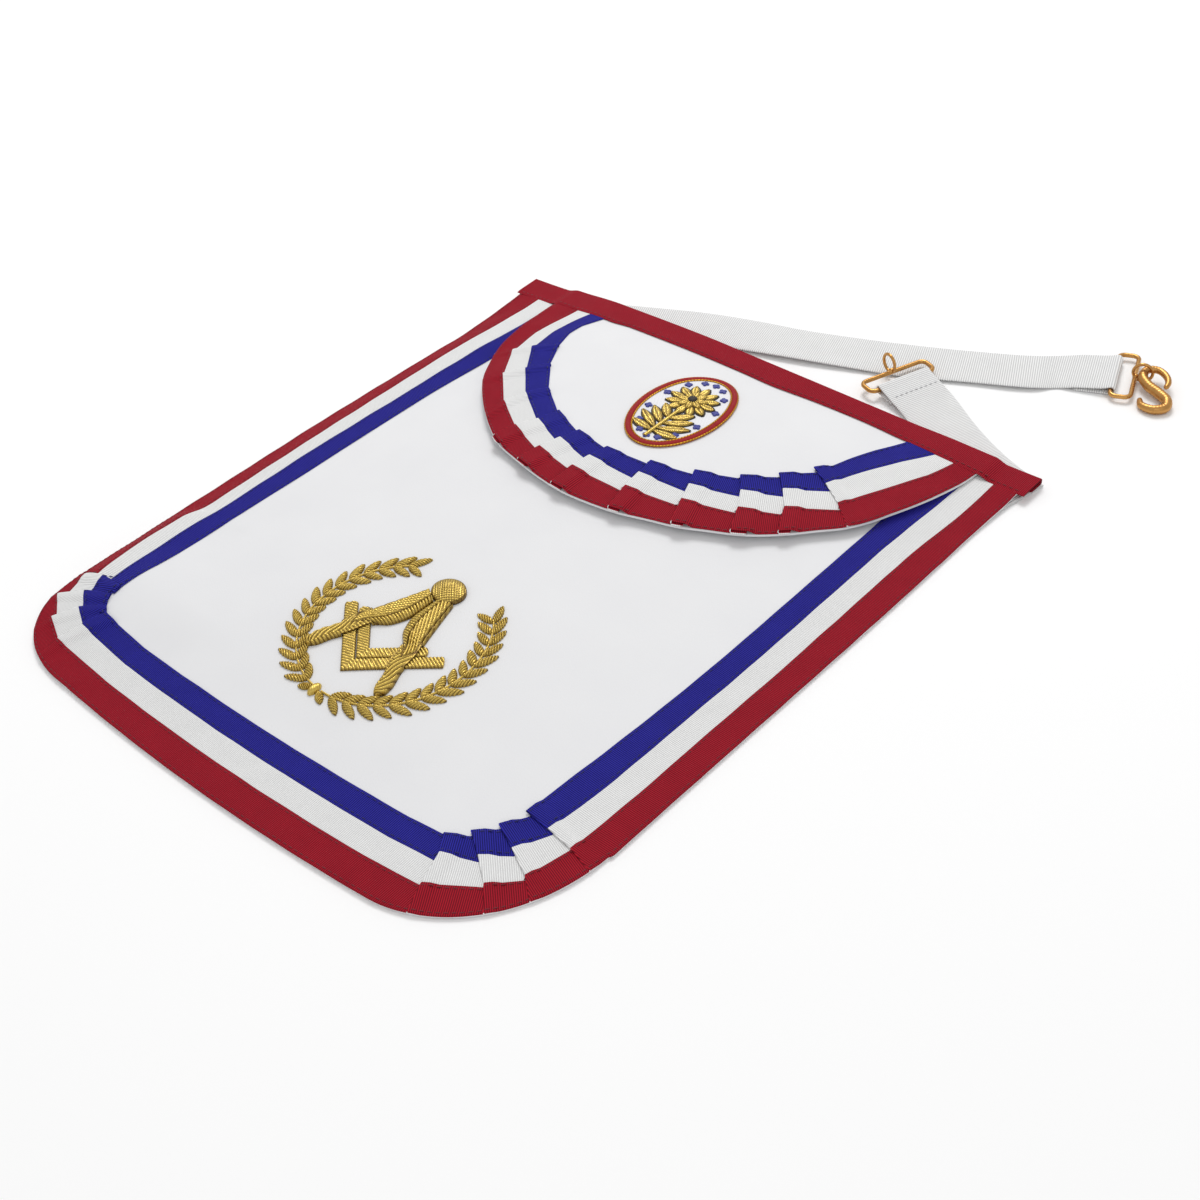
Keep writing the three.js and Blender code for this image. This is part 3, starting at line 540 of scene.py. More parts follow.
def dome(outline: Array, shares: Array, heights: Array) -> Shape:
    """Closed mound on an outline: rings of the outline drawn in by each share of its size,
    each at its height, closed by a middle point on top and by one underneath.

    Args:
        outline: Points round the rim, k by 2.
        shares: Size of each ring, from 1 at the rim inwards.
        heights: Height of each ring above the sheet, or of each ring's points.

    Returns:
        The closed mesh, with plain x and y as uv.
    """
    k = len(outline)
    middle = outline.mean(axis=0)
    shares = np.concatenate([[1.0], shares])
    plan = middle + (outline - middle) * shares[:, None, None]
    rise = np.asarray(heights, float)
    rise = np.broadcast_to(rise.reshape(len(rise), -1), (len(rise), k))
    rise = np.concatenate([np.zeros((1, k)), rise])
    rings = raised(plan, rise).reshape(-1, 3)
    ends = np.array([[*middle, rise[-1].mean()], [*middle, 0.0]])
    points = np.concatenate([rings, ends])
    quads = grid_quads(len(shares), k, loop_cols=True)
    n = len(rings)
    tris = fans(k, n - k, n + 1, n)
    slots = np.zeros(len(quads) + len(tris), int)
    return Shape(points, quads, tris, points[:, :2].copy(), slots).outward()


def repeated(shape: Shape, origins: Array, turns: Array, sizes: Optional[Array] = None) -> Shape:
    """One joined mesh of many copies of a shape.

    Args:
        shape: The shape in its own frame, pointing along x.
        origins: Where each copy starts, k by 3.
        turns: Direction of each copy in the plane, in radians.
        sizes: Scale of each copy, k by 3, or none.

    Returns:
        All the copies, each turned about z, scaled and moved to its place.
    """
    k = len(origins)
    local = np.broadcast_to(shape.points, (k, *shape.points.shape))
    if sizes is not None:
        local = local * sizes[:, None, :]
    cos, sin = np.cos(turns)[:, None], np.sin(turns)[:, None]
    x = local[..., 0] * cos - local[..., 1] * sin + origins[:, 0:1]
    y = local[..., 0] * sin + local[..., 1] * cos + origins[:, 1:2]
    z = local[..., 2] + origins[:, 2:3]
    points = np.stack([x, y, z], axis=-1).reshape(-1, 3)
    shift = (np.arange(k) * len(shape.points))[:, None, None]
    quads = (shape.quads[None] + shift).reshape(-1, 4)
    tris = (shape.tris[None] + shift).reshape(-1, 3)
    slots = np.split(shape.slots, [len(shape.quads)])
    slots = np.concatenate([np.tile(part, k) for part in slots])
    uv = np.tile(shape.uv, (k, 1))
    return Shape(points, quads, tris, uv, slots, np.tile(shape.prouds(), k))


def linear(code: str) -> tuple[float, float, float, float]:
    """Linear colour of an sRGB hex code, by the sRGB transfer curve."""
    values = [int(code[i : i + 2], 16) / 255 for i in (0, 2, 4)]
    steps = [v / 12.92 if v <= 0.04045 else ((v + 0.055) / 1.055) ** 2.4 for v in values]
    return (steps[0], steps[1], steps[2], 1.0)


def node(tree: bpy.types.NodeTree, kind: str, inputs: Optional[dict] = None, **settings: Any):
    """Adds a shader node, sets its properties, and fills its inputs.

    Args:
        tree: The material's node tree.
        kind: Blender's name of the node type.
        inputs: For each input's name or number, a value, or a socket to link from.
        settings: Properties of the node itself.

    Returns:
        The new node.
    """
    made = tree.nodes.new(kind)
    for name, value in settings.items():
        setattr(made, name, value)
    for name, value in (inputs or {}).items():
        if isinstance(value, bpy.types.NodeSocket):
            tree.links.new(value, made.inputs[name])
        else:
            made.inputs[name].default_value = value
    return made


@dataclass(frozen=True)
class Finish:
    """A material: its name, base colour as sRGB hex and the plain values of its shader."""

    name: str
    colour: str
    roughness: float = 0.6
    metallic: float = 0.0
    sheen: float = 0.0
    specular: float = 0.5

    def start(self) -> tuple[bpy.types.Material, Any, Any]:
        """New material with its shader; returns the material, its tree and the shader."""
        material = bpy.data.materials.new(self.name)
        material.use_nodes = True
        tree = material.node_tree
        shader = next(n for n in tree.nodes if n.type == "BSDF_PRINCIPLED")
        values = {
            "Base Color": linear(self.colour),
            "Roughness": self.roughness,
            "Metallic": self.metallic,
            "Sheen Weight": self.sheen,
            "Specular IOR Level": self.specular,
        }
        for name, value in values.items():
            shader.inputs[name].default_value = value
        material.diffuse_color = linear(self.colour)
        return material, tree, shader

    def clouds(self, tree: Any, size: float, detail: float = 2.0) -> Any:
        """Soft noise in space whose blobs are about that many millimetres across."""
        place = node(tree, "ShaderNodeTexCoord").outputs["Object"]
        return node(
            tree,
            "ShaderNodeTexNoise",
            {"Vector": place, "Scale": 1 / (size * MM), "Detail": detail},
        ).outputs["Fac"]

    def ribs(self, tree: Any, pitch: float, axis: str = "X", wander: float = 0.0) -> Any:
        """Rounded ridges, a sine of the uv with that pitch in millimetres."""
        place = node(tree, "ShaderNodeTexCoord")
        return node(
            tree,
            "ShaderNodeTexWave",
            {
                "Vector": place.outputs["UV"],
                "Scale": 2 * math.pi / (20 * pitch),
                "Distortion": wander,
                "Detail": 1.0,
                "Detail Scale": 0.4,
            },
            wave_type="BANDS",
            bands_direction=axis,
            wave_profile="SIN",
        ).outputs["Fac"]

    def tint(
        self, tree: Any, shader: Any, factor: Any, low: str, share: tuple[float, float] = (0, 1)
    ) -> None:
        """Mixes the base colour with a darker one by a factor.

        Args:
            tree: The material's node tree.
            shader: Its shader.
            factor: Socket from 0 to 1.
            low: Hex of the other colour.
            share: Share of the base colour where the factor is 0 and where it is 1.
        """
        limits = {"Value": factor, "To Min": share[0], "To Max": share[1]}
        much = node(tree, "ShaderNodeMapRange", limits).outputs["Result"]
        mix = node(tree, "ShaderNodeMix", {"Factor": much}, data_type="RGBA")
        colours = [s for s in mix.inputs if s.type == "RGBA"]
        colours[0].default_value = linear(low)
        colours[1].default_value = linear(self.colour)
        result = next(s for s in mix.outputs if s.type == "RGBA")
        tree.links.new(result, shader.inputs["Base Color"])

    def bump(self, tree: Any, shader: Any, layers: Sequence[tuple[Any, float, float]]) -> None:
        """Stacks bump layers: for each a height socket, a depth in millimetres, a strength."""
        normal = None
        for height, depth, strength in layers:
            inputs = {"Height": height, "Distance": depth * MM, "Strength": strength}
            if normal is not None:
                inputs["Normal"] = normal
            normal = node(tree, "ShaderNodeBump", inputs).outputs["Normal"]
        tree.links.new(normal, shader.inputs["Normal"])

    def polish(self, tree: Any, shader: Any, factor: Any, low: float, high: float) -> None:
        """Roughness that differs from the plain one by low to high as the factor rises."""
        ends = {"To Min": self.roughness + low, "To Max": self.roughness + high}
        rough = node(tree, "ShaderNodeMapRange", {"Value": factor, **ends}).outputs["Result"]
        tree.links.new(rough, shader.inputs["Roughness"])

    def build(self) -> bpy.types.Material:
        """The material with its nodes."""
        return self.start()[0]


@dataclass(frozen=True)
class Lambskin(Finish):
    """White tanned skin: matt and close-grained, so it shows soft mottling and fine pores."""

    pores: float = 0.9
    mottle: float = 34.0

    def build(self) -> bpy.types.Material:
        """Skin with pores of under a millimetre and a faint cloudy tone."""
        material, tree, shader = self.start()
        place = node(tree, "ShaderNodeTexCoord").outputs["Object"]
        grain = node(
            tree, "ShaderNodeTexVoronoi", {"Vector": place, "Scale": 1 / (self.pores * MM)}
        ).outputs["Distance"]
        cloud = self.clouds(tree, self.mottle, 3.0)
        self.tint(tree, shader, cloud, "E0E0E2")
        self.polish(tree, shader, cloud, -0.06, 0.06)
        self.bump(tree, shader, [(grain, 0.05, 0.35), (cloud, 0.5, 0.25)])
        return material


@dataclass(frozen=True)
class Grosgrain(Finish):
    """Corded ribbon: a heavy weft gives rounded ribs across it and a soft rayon sheen."""

    # Colour of the painted shade in the grooves between the ribs.
    groove: str = "000000"
    rib: float = 0.95
    yarn: float = 0.32

    def build(self) -> bpy.types.Material:
        """Ribs about a millimetre apart with painted shade in the grooves, and fine warp threads.
        """
        material, tree, shader = self.start()
        ribs = self.ribs(tree, self.rib, "X", 0.25)
        warp = self.ribs(tree, self.yarn, "Y")
        cloud = self.clouds(tree, 9.0, 3.0)
        # Painted shade: darker in each groove between the ribs, times a random cloud of tone.
        limits = {"Value": cloud, "To Min": 0.75, "To Max": 1.1}
        worn = node(tree, "ShaderNodeMapRange", limits).outputs["Result"]
        shade = node(tree, "ShaderNodeMath", {0: ribs, 1: worn}, operation="MULTIPLY").outputs[0]
        self.tint(tree, shader, shade, self.groove, (0.02, 1))
        self.bump(tree, shader, [(ribs, 0.26, 0.9), (warp, 0.05, 0.3), (cloud, 0.35, 0.3)])
        return material


@dataclass(frozen=True)
class Purl(Finish):
    """Gilt purl: wire coiled into a soft cord and laid in rows; its sparkle along the turns is
    painted into the colour as glints.
    """

    coil: float = 0.5
    # Brown of the painted shade in the gaps of the relief.
    shade: str = "4A2C06"

    def build(self) -> bpy.types.Material:
        """Gold thread with close coils: painted brown shade in the gaps between coils and cords,
        painted glints from fine noise, and the full gold on the crowns.
        """
        material, tree, shader = self.start()
        # Painted shade and glints: the proud attribute darkens the gaps of the relief, the coil
        # waves darken between turns and the glint noise brightens small flecks.
        proud = node(tree, "ShaderNodeAttribute", attribute_name="proud").outputs["Fac"]
        coils = self.ribs(tree, self.coil, "DIAGONAL", 0.6)
        glint = self.clouds(tree, 0.8, 4.0)
        product = {"operation": "MULTIPLY", "use_clamp": True}
        limits = {"Value": glint, "To Min": 0.35, "To Max": 1.3}
        glint_level = node(tree, "ShaderNodeMapRange", limits).outputs["Result"]
        coil_shade_and_glints = node(tree, "ShaderNodeMath", {0: coils, 1: glint_level}, **product).outputs[0]
        limits = {"Value": coil_shade_and_glints, "To Min": 0.6, "To Max": 1.1}
        bright = node(tree, "ShaderNodeMapRange", limits).outputs["Result"]
        tone = node(tree, "ShaderNodeMath", {0: bright, 1: proud}, **product).outputs[0]
        self.tint(tree, shader, tone, self.shade)
        self.polish(tree, shader, glint, 0.15, -0.12)
        self.bump(tree, shader, [(coils, 0.12, 0.7), (glint, 0.15, 0.5)])
        return material


@dataclass(frozen=True)
class Satin(Finish):
    """Satin stitch: lustrous threads laid side by side, so it shines in fine parallel lines."""

    thread: float = 0.45
    axis: str = "X"
    shade: str = "000000"

    def build(self) -> bpy.types.Material:
        """Parallel threads with painted shade in the lines between them."""
        material, tree, shader = self.start()
        lines = self.ribs(tree, self.thread, self.axis, 0.5)
        self.tint(tree, shader, lines, self.shade, (0.3, 1))
        self.bump(tree, shader, [(lines, 0.12, 0.6)])
        return material


@dataclass(frozen=True)
class Twill(Finish):
    """Badge cloth: a close white twill, whose diagonal lines show as a faint grain of painted
    shade.
    """

    line: float = 0.55

    def build(self) -> bpy.types.Material:
        """Diagonal lines half a millimetre apart with painted shade in the low lines, crossed by a
        little noise.
        """
        material, tree, shader = self.start()
        lines = self.ribs(tree, self.line, "DIAGONAL", 0.2)
        cloud = self.clouds(tree, 3.0)
        self.tint(tree, shader, lines, "CFCFD6", (0.4, 1))
        self.bump(tree, shader, [(lines, 0.1, 0.5), (cloud, 0.2, 0.3)])
        return material


@dataclass(frozen=True)
class Gilding(Finish):
    """Gilt brass: drawn wire or a casting under a thin warm plating, with small wear marks."""

    grain: float = 1.4
    depth: float = 0.03
    worn: str = "8A5A24"

    def build(self) -> bpy.types.Material:
        """Polished warm metal with a fine uneven skin and duller hollows."""
        material, tree, shader = self.start()
        wear = self.clouds(tree, self.grain, 4.0)
        broad = self.clouds(tree, 6.0, 2.0)
        self.tint(tree, shader, broad, self.worn, (0.35, 1))
        self.polish(tree, shader, wear, -0.08, 0.14)
        self.bump(tree, shader, [(wear, self.depth, 0.6)])
        return material


@dataclass(frozen=True)
class Tabletop(Finish):
    """Matt pale board under the apron, plain but for a faint unevenness of tone."""

    def build(self) -> bpy.types.Material:
        """Almost white, with broad and very faint clouds."""
        material, tree, shader = self.start()
        cloud = self.clouds(tree, 900.0)
        self.tint(tree, shader, cloud, "FAFAFA")
        return material


class Look(Enum):
    """The finishes of this apron."""

    LEATHER = Lambskin("white_lambskin", "E7E7E8", 0.6, specular=0.2)
    # The groove colours of the ribbons and the webbing are painted shade between their ribs.
    RED = Grosgrain("red_grosgrain_ribbon", "B81E30", 0.75, specular=0.1, groove="660E1B")
    WHITE = Grosgrain("white_grosgrain_ribbon", "FCFCFB", 0.8, specular=0.1, groove="D2D2D2")
    BLUE = Grosgrain("blue_grosgrain_ribbon", "3331AC", 0.72, specular=0.1, groove="141356")
    REVERSE = Grosgrain("ribbon_reverse", "FDFDFD", 0.8, specular=0.1, groove="DADADA")
    WEBBING = Grosgrain(
        "white_cotton_webbing", "FAFAF9", 0.85, specular=0.1, groove="C8C8C8", rib=1.25, yarn=0.6
    )
    PURL = Purl("gilt_bullion_purl", "FFDC6E", 0.28, metallic=0.65)
    CORD = Purl("gilt_edging_cord", "E2A62A", 0.4, metallic=0.75, coil=0.9)
    # The shade colours of the satin finishes are painted shade between their threads.
    SATIN_RED = Satin("red_satin_stitch", "A81A20", 0.55, specular=0.2, shade="740C12")
    SATIN_BLUE = Satin("blue_satin_stitch", "27309E", 0.45, sheen=0.2, shade="141A5C", axis="Y")
    OUTLINE = Satin("dark_outline_stitch", "2A1D10", 0.6, shade="0E0906", axis="Y")
    TWILL = Twill("white_badge_twill", "F2F2F4", 0.8, sheen=0.1)
    # The red and blue sewing threads are darker than the ribbons they sew: painted shade of the
    # stitch holes.
    THREAD_RED = Satin("red_sewing_thread", "861426", 0.6, thread=0.3, shade="4E0A16")
    THREAD_BLUE = Satin("blue_sewing_thread", "15136A", 0.6, thread=0.3, shade="0A0838")
    THREAD_WHITE = Satin("white_sewing_thread", "E4E4E6", 0.65, thread=0.3, shade="BDBDC0")
    WIRE = Gilding("gilt_brass_wire", "DDA864", 0.26, metallic=1.0)
    CASTING = Gilding("gilt_brass_casting", "D8A462", 0.34, metallic=1.0, grain=1.0, depth=0.12)
    TABLE = Tabletop("pale_tabletop", "FDFDFD", 0.9, specular=0.1)


@dataclass
class Bench:
    """Puts shapes into the scene: keeps the shift from the part's frame to the scene's."""

    shift: Array
    made: dict[Look, bpy.types.Material] = field(default_factory=dict)
    triangles: int = 0

    def material(self, look: Look) -> bpy.types.Material:
        """The look's material, built once."""
        if look not in self.made:
            self.made[look] = look.value.build()
        return self.made[look]

    def piece(
        self,
        name: str,
        shape: Shape,
        looks: Sequence[Look],
        slot: str,
        replaces: Sequence[str] = (),
        crease: float = 40.0,
    ) -> bpy.types.Object:
        """Makes the object of a shape, dresses it and ties it to the frame.

        Args:
            name: Name of the piece.
            shape: Its mesh in part millimetres.
            looks: Finishes in the order of the shape's finish numbers.
            slot: The record's material slot; not used.
            replaces: CAD nodes that it stands for.
            crease: Edges sharper than this many degrees are shaded sharp.

        Returns:
            The object, riding on the body.
        """
        mesh = bpy.data.meshes.new(name)
        points = (shape.points + self.shift) * MM
        faces = shape.quads.tolist() + shape.tris.tolist()
        mesh.from_pydata(points.tolist(), [], faces)
        mesh.polygons.foreach_set("material_index", shape.slots.astype(np.int32))
        mesh.polygons.foreach_set("use_smooth", np.ones(len(faces), bool))
        corner = np.empty(len(mesh.loops), np.int32)
        mesh.loops.foreach_get("vertex_index", corner)
        layer = mesh.uv_layers.new(name="millimetres")
        layer.data.foreach_set("uv", shape.uv[corner].astype(np.float32).ravel())
        # How proud each point stands; the purl finish paints shade in the gaps from it.
        stands = mesh.attributes.new("proud", "FLOAT", "POINT")
        stands.data.foreach_set("value", shape.prouds().astype(np.float32))
        for look in looks:
            mesh.materials.append(self.material(look))
        mesh.set_sharp_from_angle(angle=math.radians(crease))
        mesh.update()
        made = bpy.data.objects.new(name, mesh)
        bpy.context.scene.collection.objects.link(made)
        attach(made, "root")
        if replaces:
            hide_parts(*replaces)
        count = 2 * len(shape.quads) + len(shape.tris)
        self.triangles += count
        log.info("%s: %d triangles", name, count)
        return made


@dataclass(frozen=True)
class BodyForm:
    """Form of the body panel: a sheet that arches off the table and droops along its left side."""

    thick: float = 1.4
    right: float = 175.2
    waist: float = -9.5
    bottom: float = -413.6
    bow: float = 4.0
    left_corner: tuple[float, float, float] = (72.0, 63.0, 2.5)
    right_corner: tuple[float, float, float] = (70.0, 80.0, 2.0)
    steps: tuple[float, float, float] = (14.0, 26.8, 40.0)
    marks: tuple[float, ...] = (-100.0, -40.0, 0.0, 132.0, 152.0)
    span: tuple[float, float] = (-171.5, 173.4)

    def left_edge(self, y: Array) -> Array:
        """x of the left edge at y, read from its table."""
        return through(LEFT_EDGE["y"], LEFT_EDGE["x"], y)

    def right_edge(self, y: Array) -> Array:
        """x of the right edge at y: straight, drawn in near the hem and out at the waist."""
        return self.right - 3.0 * ease(-100, -380, y) + 1.8 * ease(-70, -10, y)

    def top(self, x: Array, y: Array) -> Array:
        """Height of the top face: across each section a smooth curve through the heights
        of the edge, the ends of the three ribbons, the shoulder, crown, middle and flat side."""
        x, y = np.broadcast_arrays(np.asarray(x, float), np.asarray(y, float))
        edge = self.left_edge(y).ravel()
        knots = [edge + step for step in (0.0, *self.steps)]
        knots += [np.full(edge.shape, mark) for mark in self.marks]
        names = [name for name in RISE if name != "y"]
        heights = [through(RISE["y"], RISE[name], y).ravel() for name in names]
        return through(np.stack(knots), np.stack(heights), x.ravel()).reshape(x.shape)

    def rim(self, u: Array) -> Array:
        """Points of the lower rim at shares u of the way from the left side to the right."""
        y = self.hem(lerp(self.span[0], self.span[1], u))
        return np.stack([lerp(self.left_edge(y), self.right_edge(y), u), y], axis=-1)

    def outline(self) -> Array:
        """Points down the left side, along the hem and up the right side."""
        low = self.rim(0.5 - 0.5 * np.cos(np.linspace(0, np.pi, 700)))
        down = np.linspace(self.waist, low[0, 1], 200)[:-1]
        climb = np.linspace(low[-1, 1], self.waist, 200)[1:]
        left = np.stack([self.left_edge(down), down], axis=-1)
        right = np.stack([self.right_edge(climb), climb], axis=-1)
        return np.vstack([left, low, right])

    def hem(self, x: Array) -> Array:
        """y of the lower outline: a bowed hem with a superelliptical corner on each side."""
        x = np.asarray(x, float)
        left, right = self.left_edge(self.bottom), self.right_edge(self.bottom)
        line = self.bottom - self.bow * np.maximum(0, 1 - (x / 105) ** 2)
        sides = (
            (left + self.left_corner[0] - x, self.left_corner),
            (x - right + self.right_corner[0], self.right_corner),
        )
        for into, (rx, ry, power) in sides:
            share = np.clip(into / rx, 0, 1)
            line = line + ry * (1 - (1 - share**power) ** (1 / power))
        return line


@dataclass(frozen=True)
class FlapForm:
    """Form of the flap: a half-round sheet that lies over the body and its ribbons."""

    body: BodyForm
    thick: float = 1.2
    cx: float = 2.5
    cy: float = -25.0
    a: float = 150.0
    b: float = 147.0
    margin: float = 0.1
    drift: float = 0.03

    def outline(self, count: int = 900) -> Array:
        """Points of the free edge, from the left end round to the right."""
        return smooth_path(np.array([FLAP_EDGE["x"], FLAP_EDGE["y"]], float).T, count)

    def reach(self, x: Array, y: Array) -> Array:
        """Share of the way from the middle of the hinge to the edge, as on a half ellipse."""
        middle = self.cx + self.drift * (np.asarray(y, float) + 60)
        return np.hypot((x - middle) / self.a, (y - self.cy) / self.b)

    def lift(self, x: Array, y: Array) -> Array:
        """Height over the body: low at the hinge, clear of the ribbons at the free edge."""
        hinge = 1.5 + 0.7 * ease(98, 128, np.abs(x - self.cx))
        rise = lerp(hinge, 3.3, ease(-26, -62, y))
        return rise + 1.4 * ease(0.6, 1, self.reach(x, y)) * ease(-30, -110, y)

    def top(self, x: Array, y: Array) -> Array:
        """Height of the flap's top face: the body's height and the lift over it."""
        return self.body.top(x, y) + self.lift(x, y)


@dataclass
class Panels:
    """The two leather panels."""

    body: BodyForm
    flap: FlapForm
    bench: Bench
    columns: int = 150
    rows: int = 170
    flap_columns: int = 150
    flap_rows: int = 90

    def body_shape(self) -> Shape:
        """Sheet over a grid: u runs from edge to edge, v from the waist to the hem under it."""
        u = 0.5 - 0.5 * np.cos(np.linspace(0, np.pi, self.columns))
        v = np.linspace(0, 1, self.rows)
        y = lerp(self.body.waist, self.body.rim(u)[None, :, 1], v[:, None])
        x = lerp(self.body.left_edge(y), self.body.right_edge(y), u[None, :])
        return self.sheet(x, y, self.body.top, self.body.thick)

    def flap_shape(self) -> Shape:
        """Sheet over a grid: columns evenly along the free edge, rows from hinge to edge."""
        line = self.flap.outline(self.flap_columns)
        ahead = unit(np.gradient(line, axis=0))
        edge = line + self.flap.margin * np.stack([ahead[:, 1], -ahead[:, 0]], axis=-1)
        v = np.linspace(0, 1, self.flap_rows)[:, None]
        y = lerp(self.body.waist, edge[None, :, 1], v)
        x = np.broadcast_to(edge[None, :, 0], y.shape)
        return self.sheet(x, y, self.flap.top, self.flap.thick)

    @staticmethod
    def sheet(x: Array, y: Array, top: HeightOf, thick: float) -> Shape:
        """Closed sheet of one thickness under a height function."""
        z = top(x, y)
        upper, lower = (np.stack([x, y, height], axis=-1) for height in (z, z - thick))
        return slab(upper, lower, upper[..., :2])

    def build(self) -> None:
        body = self.bench.piece(
            "apron_body", self.body_shape(), [Look.LEATHER], "leather", ["body_panel"]
        )
        flap = self.bench.piece(
            "apron_flap", self.flap_shape(), [Look.LEATHER], "leather", ["flap_panel"]
        )


@dataclass
class Station:
    """A line across the trim: its inner end, the two seams and its outer end, how many layers
    up it lies, how much of that is left at the outer end, how far it has turned over, how far
    its outer end peeks out, which straight length it belongs to, and whether it shows."""

    marks: Array
    level: float
    fade: float
    tilt: float
    peek: float
    along: Array
    run: int
    seen: bool


@dataclass
class TrimLine:
    """A line of stations, plain lengths and knife pleats, with its outer ends on an outline."""

    layer: float
    outline: Array
    stations: list[Station] = field(default_factory=list)
    run: int = 0
    waiting: list[tuple[Station, Array, Array, float]] = field(default_factory=list)

    def meet(self, marks: Array) -> None:
        """Moves the stations after the last pleat onto the straight way to these marks, each
        by its distance but no further than its share of the way."""
        for station, start, reach, share in self.waiting:
            way = marks - start
            length = np.linalg.norm(way, axis=-1, keepdims=True)
            station.marks = start + way * np.minimum(reach / length, share)
        self.waiting = []

    def plain(self, *marks: Sequence[float]) -> None:
        """Adds a station that lies flat, from its inner end, blue and white seams and outer end."""
        place = np.array(marks, float)
        self.meet(place)
        self.stations.append(Station(place, 0, 1, 0, 0, np.zeros(2), self.run, True))

    def knife(self, row: Sequence[float], along: Array, peek: float) -> None:
        """Adds a knife pleat: the ribbon goes in under the next length, turns back over
        itself in a half circle, comes out, turns again and goes on two layers up.

        Args:
            row: The leading edge of the upper length, the steps of its seams and its tucks.
            along: Unit vector in which the trim runs on.
            peek: How far the turned-back layer stands out at the outer edge.
        """
        upper = np.array(row[:8], float).reshape(4, 2)
        steps, tucks = np.array([*row[8:11], 0.0])[:, None], np.array(row[11:13], float)
        lower = upper + unit(upper[2] - upper[0]) * steps
        shares = np.array([0, 0.32, 0.64, 1])[:, None]
        tuck = lerp(tucks[0], tucks[1], shares)
        fade = float(np.clip(tucks[1] / 3, 0.25, 1.7))
        half, lead = self.layer / 2, 1.2
        self.meet(lower - lead * along)

        def add(marks: Array, level: float, tilt: float = 0, out: float = 0, seen: bool = False):
            """Adds a station of this pleat."""
            self.stations.append(Station(marks, level, fade, tilt, out, along, self.run, seen))

        turns = np.radians([30, 60, 90, 120, 150])
        inmost = lower + along * tuck
        add(lower - along * lead, 0, seen=True)
        add(inmost, 0)
        for t in turns:
            lift, push = (1 - math.cos(t)) / 2, half * math.sin(t)
            add(inmost + along * push, lift, math.degrees(t), peek * lift)
        self.run += 1
        add(inmost, 1, 180, peek)
        add(upper, 1, 180, peek)
        for t in turns:
            lift, push, back = 1.5 - math.cos(t) / 2, half * math.sin(t), 180 - math.degrees(t)
            add(upper - along * push, lift, back, peek * back / 360)
        add(upper, 2, seen=True)
        for extra, level, share in ((1.4, 2, 0.5), (5.4, 0, 0.9)):
            add(upper + along * (tuck + extra), level, seen=True)
            self.waiting.append((self.stations[-1], upper, tuck + extra, share))

    def spread(self, step: float) -> dict[str, Array]:
        """Stations as arrays, with straight in-between ones. Each outer end is then brought
        to the line of the outline nearest to it, plus its peek.

        Args:
            step: Greatest distance in millimetres from one station to the next.

        Returns:
            An array for each field of a station.
        """
        names = ("marks", "along", "level", "fade", "tilt", "peek")
        rows: dict[str, list[Array]] = {k: [] for k in (*names, "run", "seen")}
        for a, b in zip(self.stations[:-1], self.stations[1:]):
            gap = np.linalg.norm(b.marks - a.marks, axis=-1).max()
            t = np.arange(max(1, math.ceil(gap / step)))
            t = t / len(t)
            for name in names:
                start, end = (np.asarray(getattr(v, name), float) for v in (a, b))
                rows[name].append(lerp(start, end, t.reshape(-1, *(1,) * start.ndim)))
            rows["run"].append(np.full(len(t), a.run))
            rows["seen"].append(np.full(len(t), a.seen and (b.seen or len(t) == 1)))
        last = self.stations[-1]
        for name in rows:
            rows[name].append(np.array([getattr(last, name)]))
        out = {name: np.concatenate(parts) for name, parts in rows.items()}
        ends = out["marks"][:, 3]
        near = np.linalg.norm(ends[:, None] - self.outline[None], axis=-1).argmin(axis=1)
        ahead = unit(np.gradient(self.outline, axis=0))[near]
        side = np.stack([ahead[:, 1], -ahead[:, 0]], axis=-1)
        slide = np.einsum("ij,ij->i", ends - self.outline[near], ahead)[:, None] * ahead
        out["marks"][:, 3] = self.outline[near] + slide + side * out["peek"][:, None]
        return out


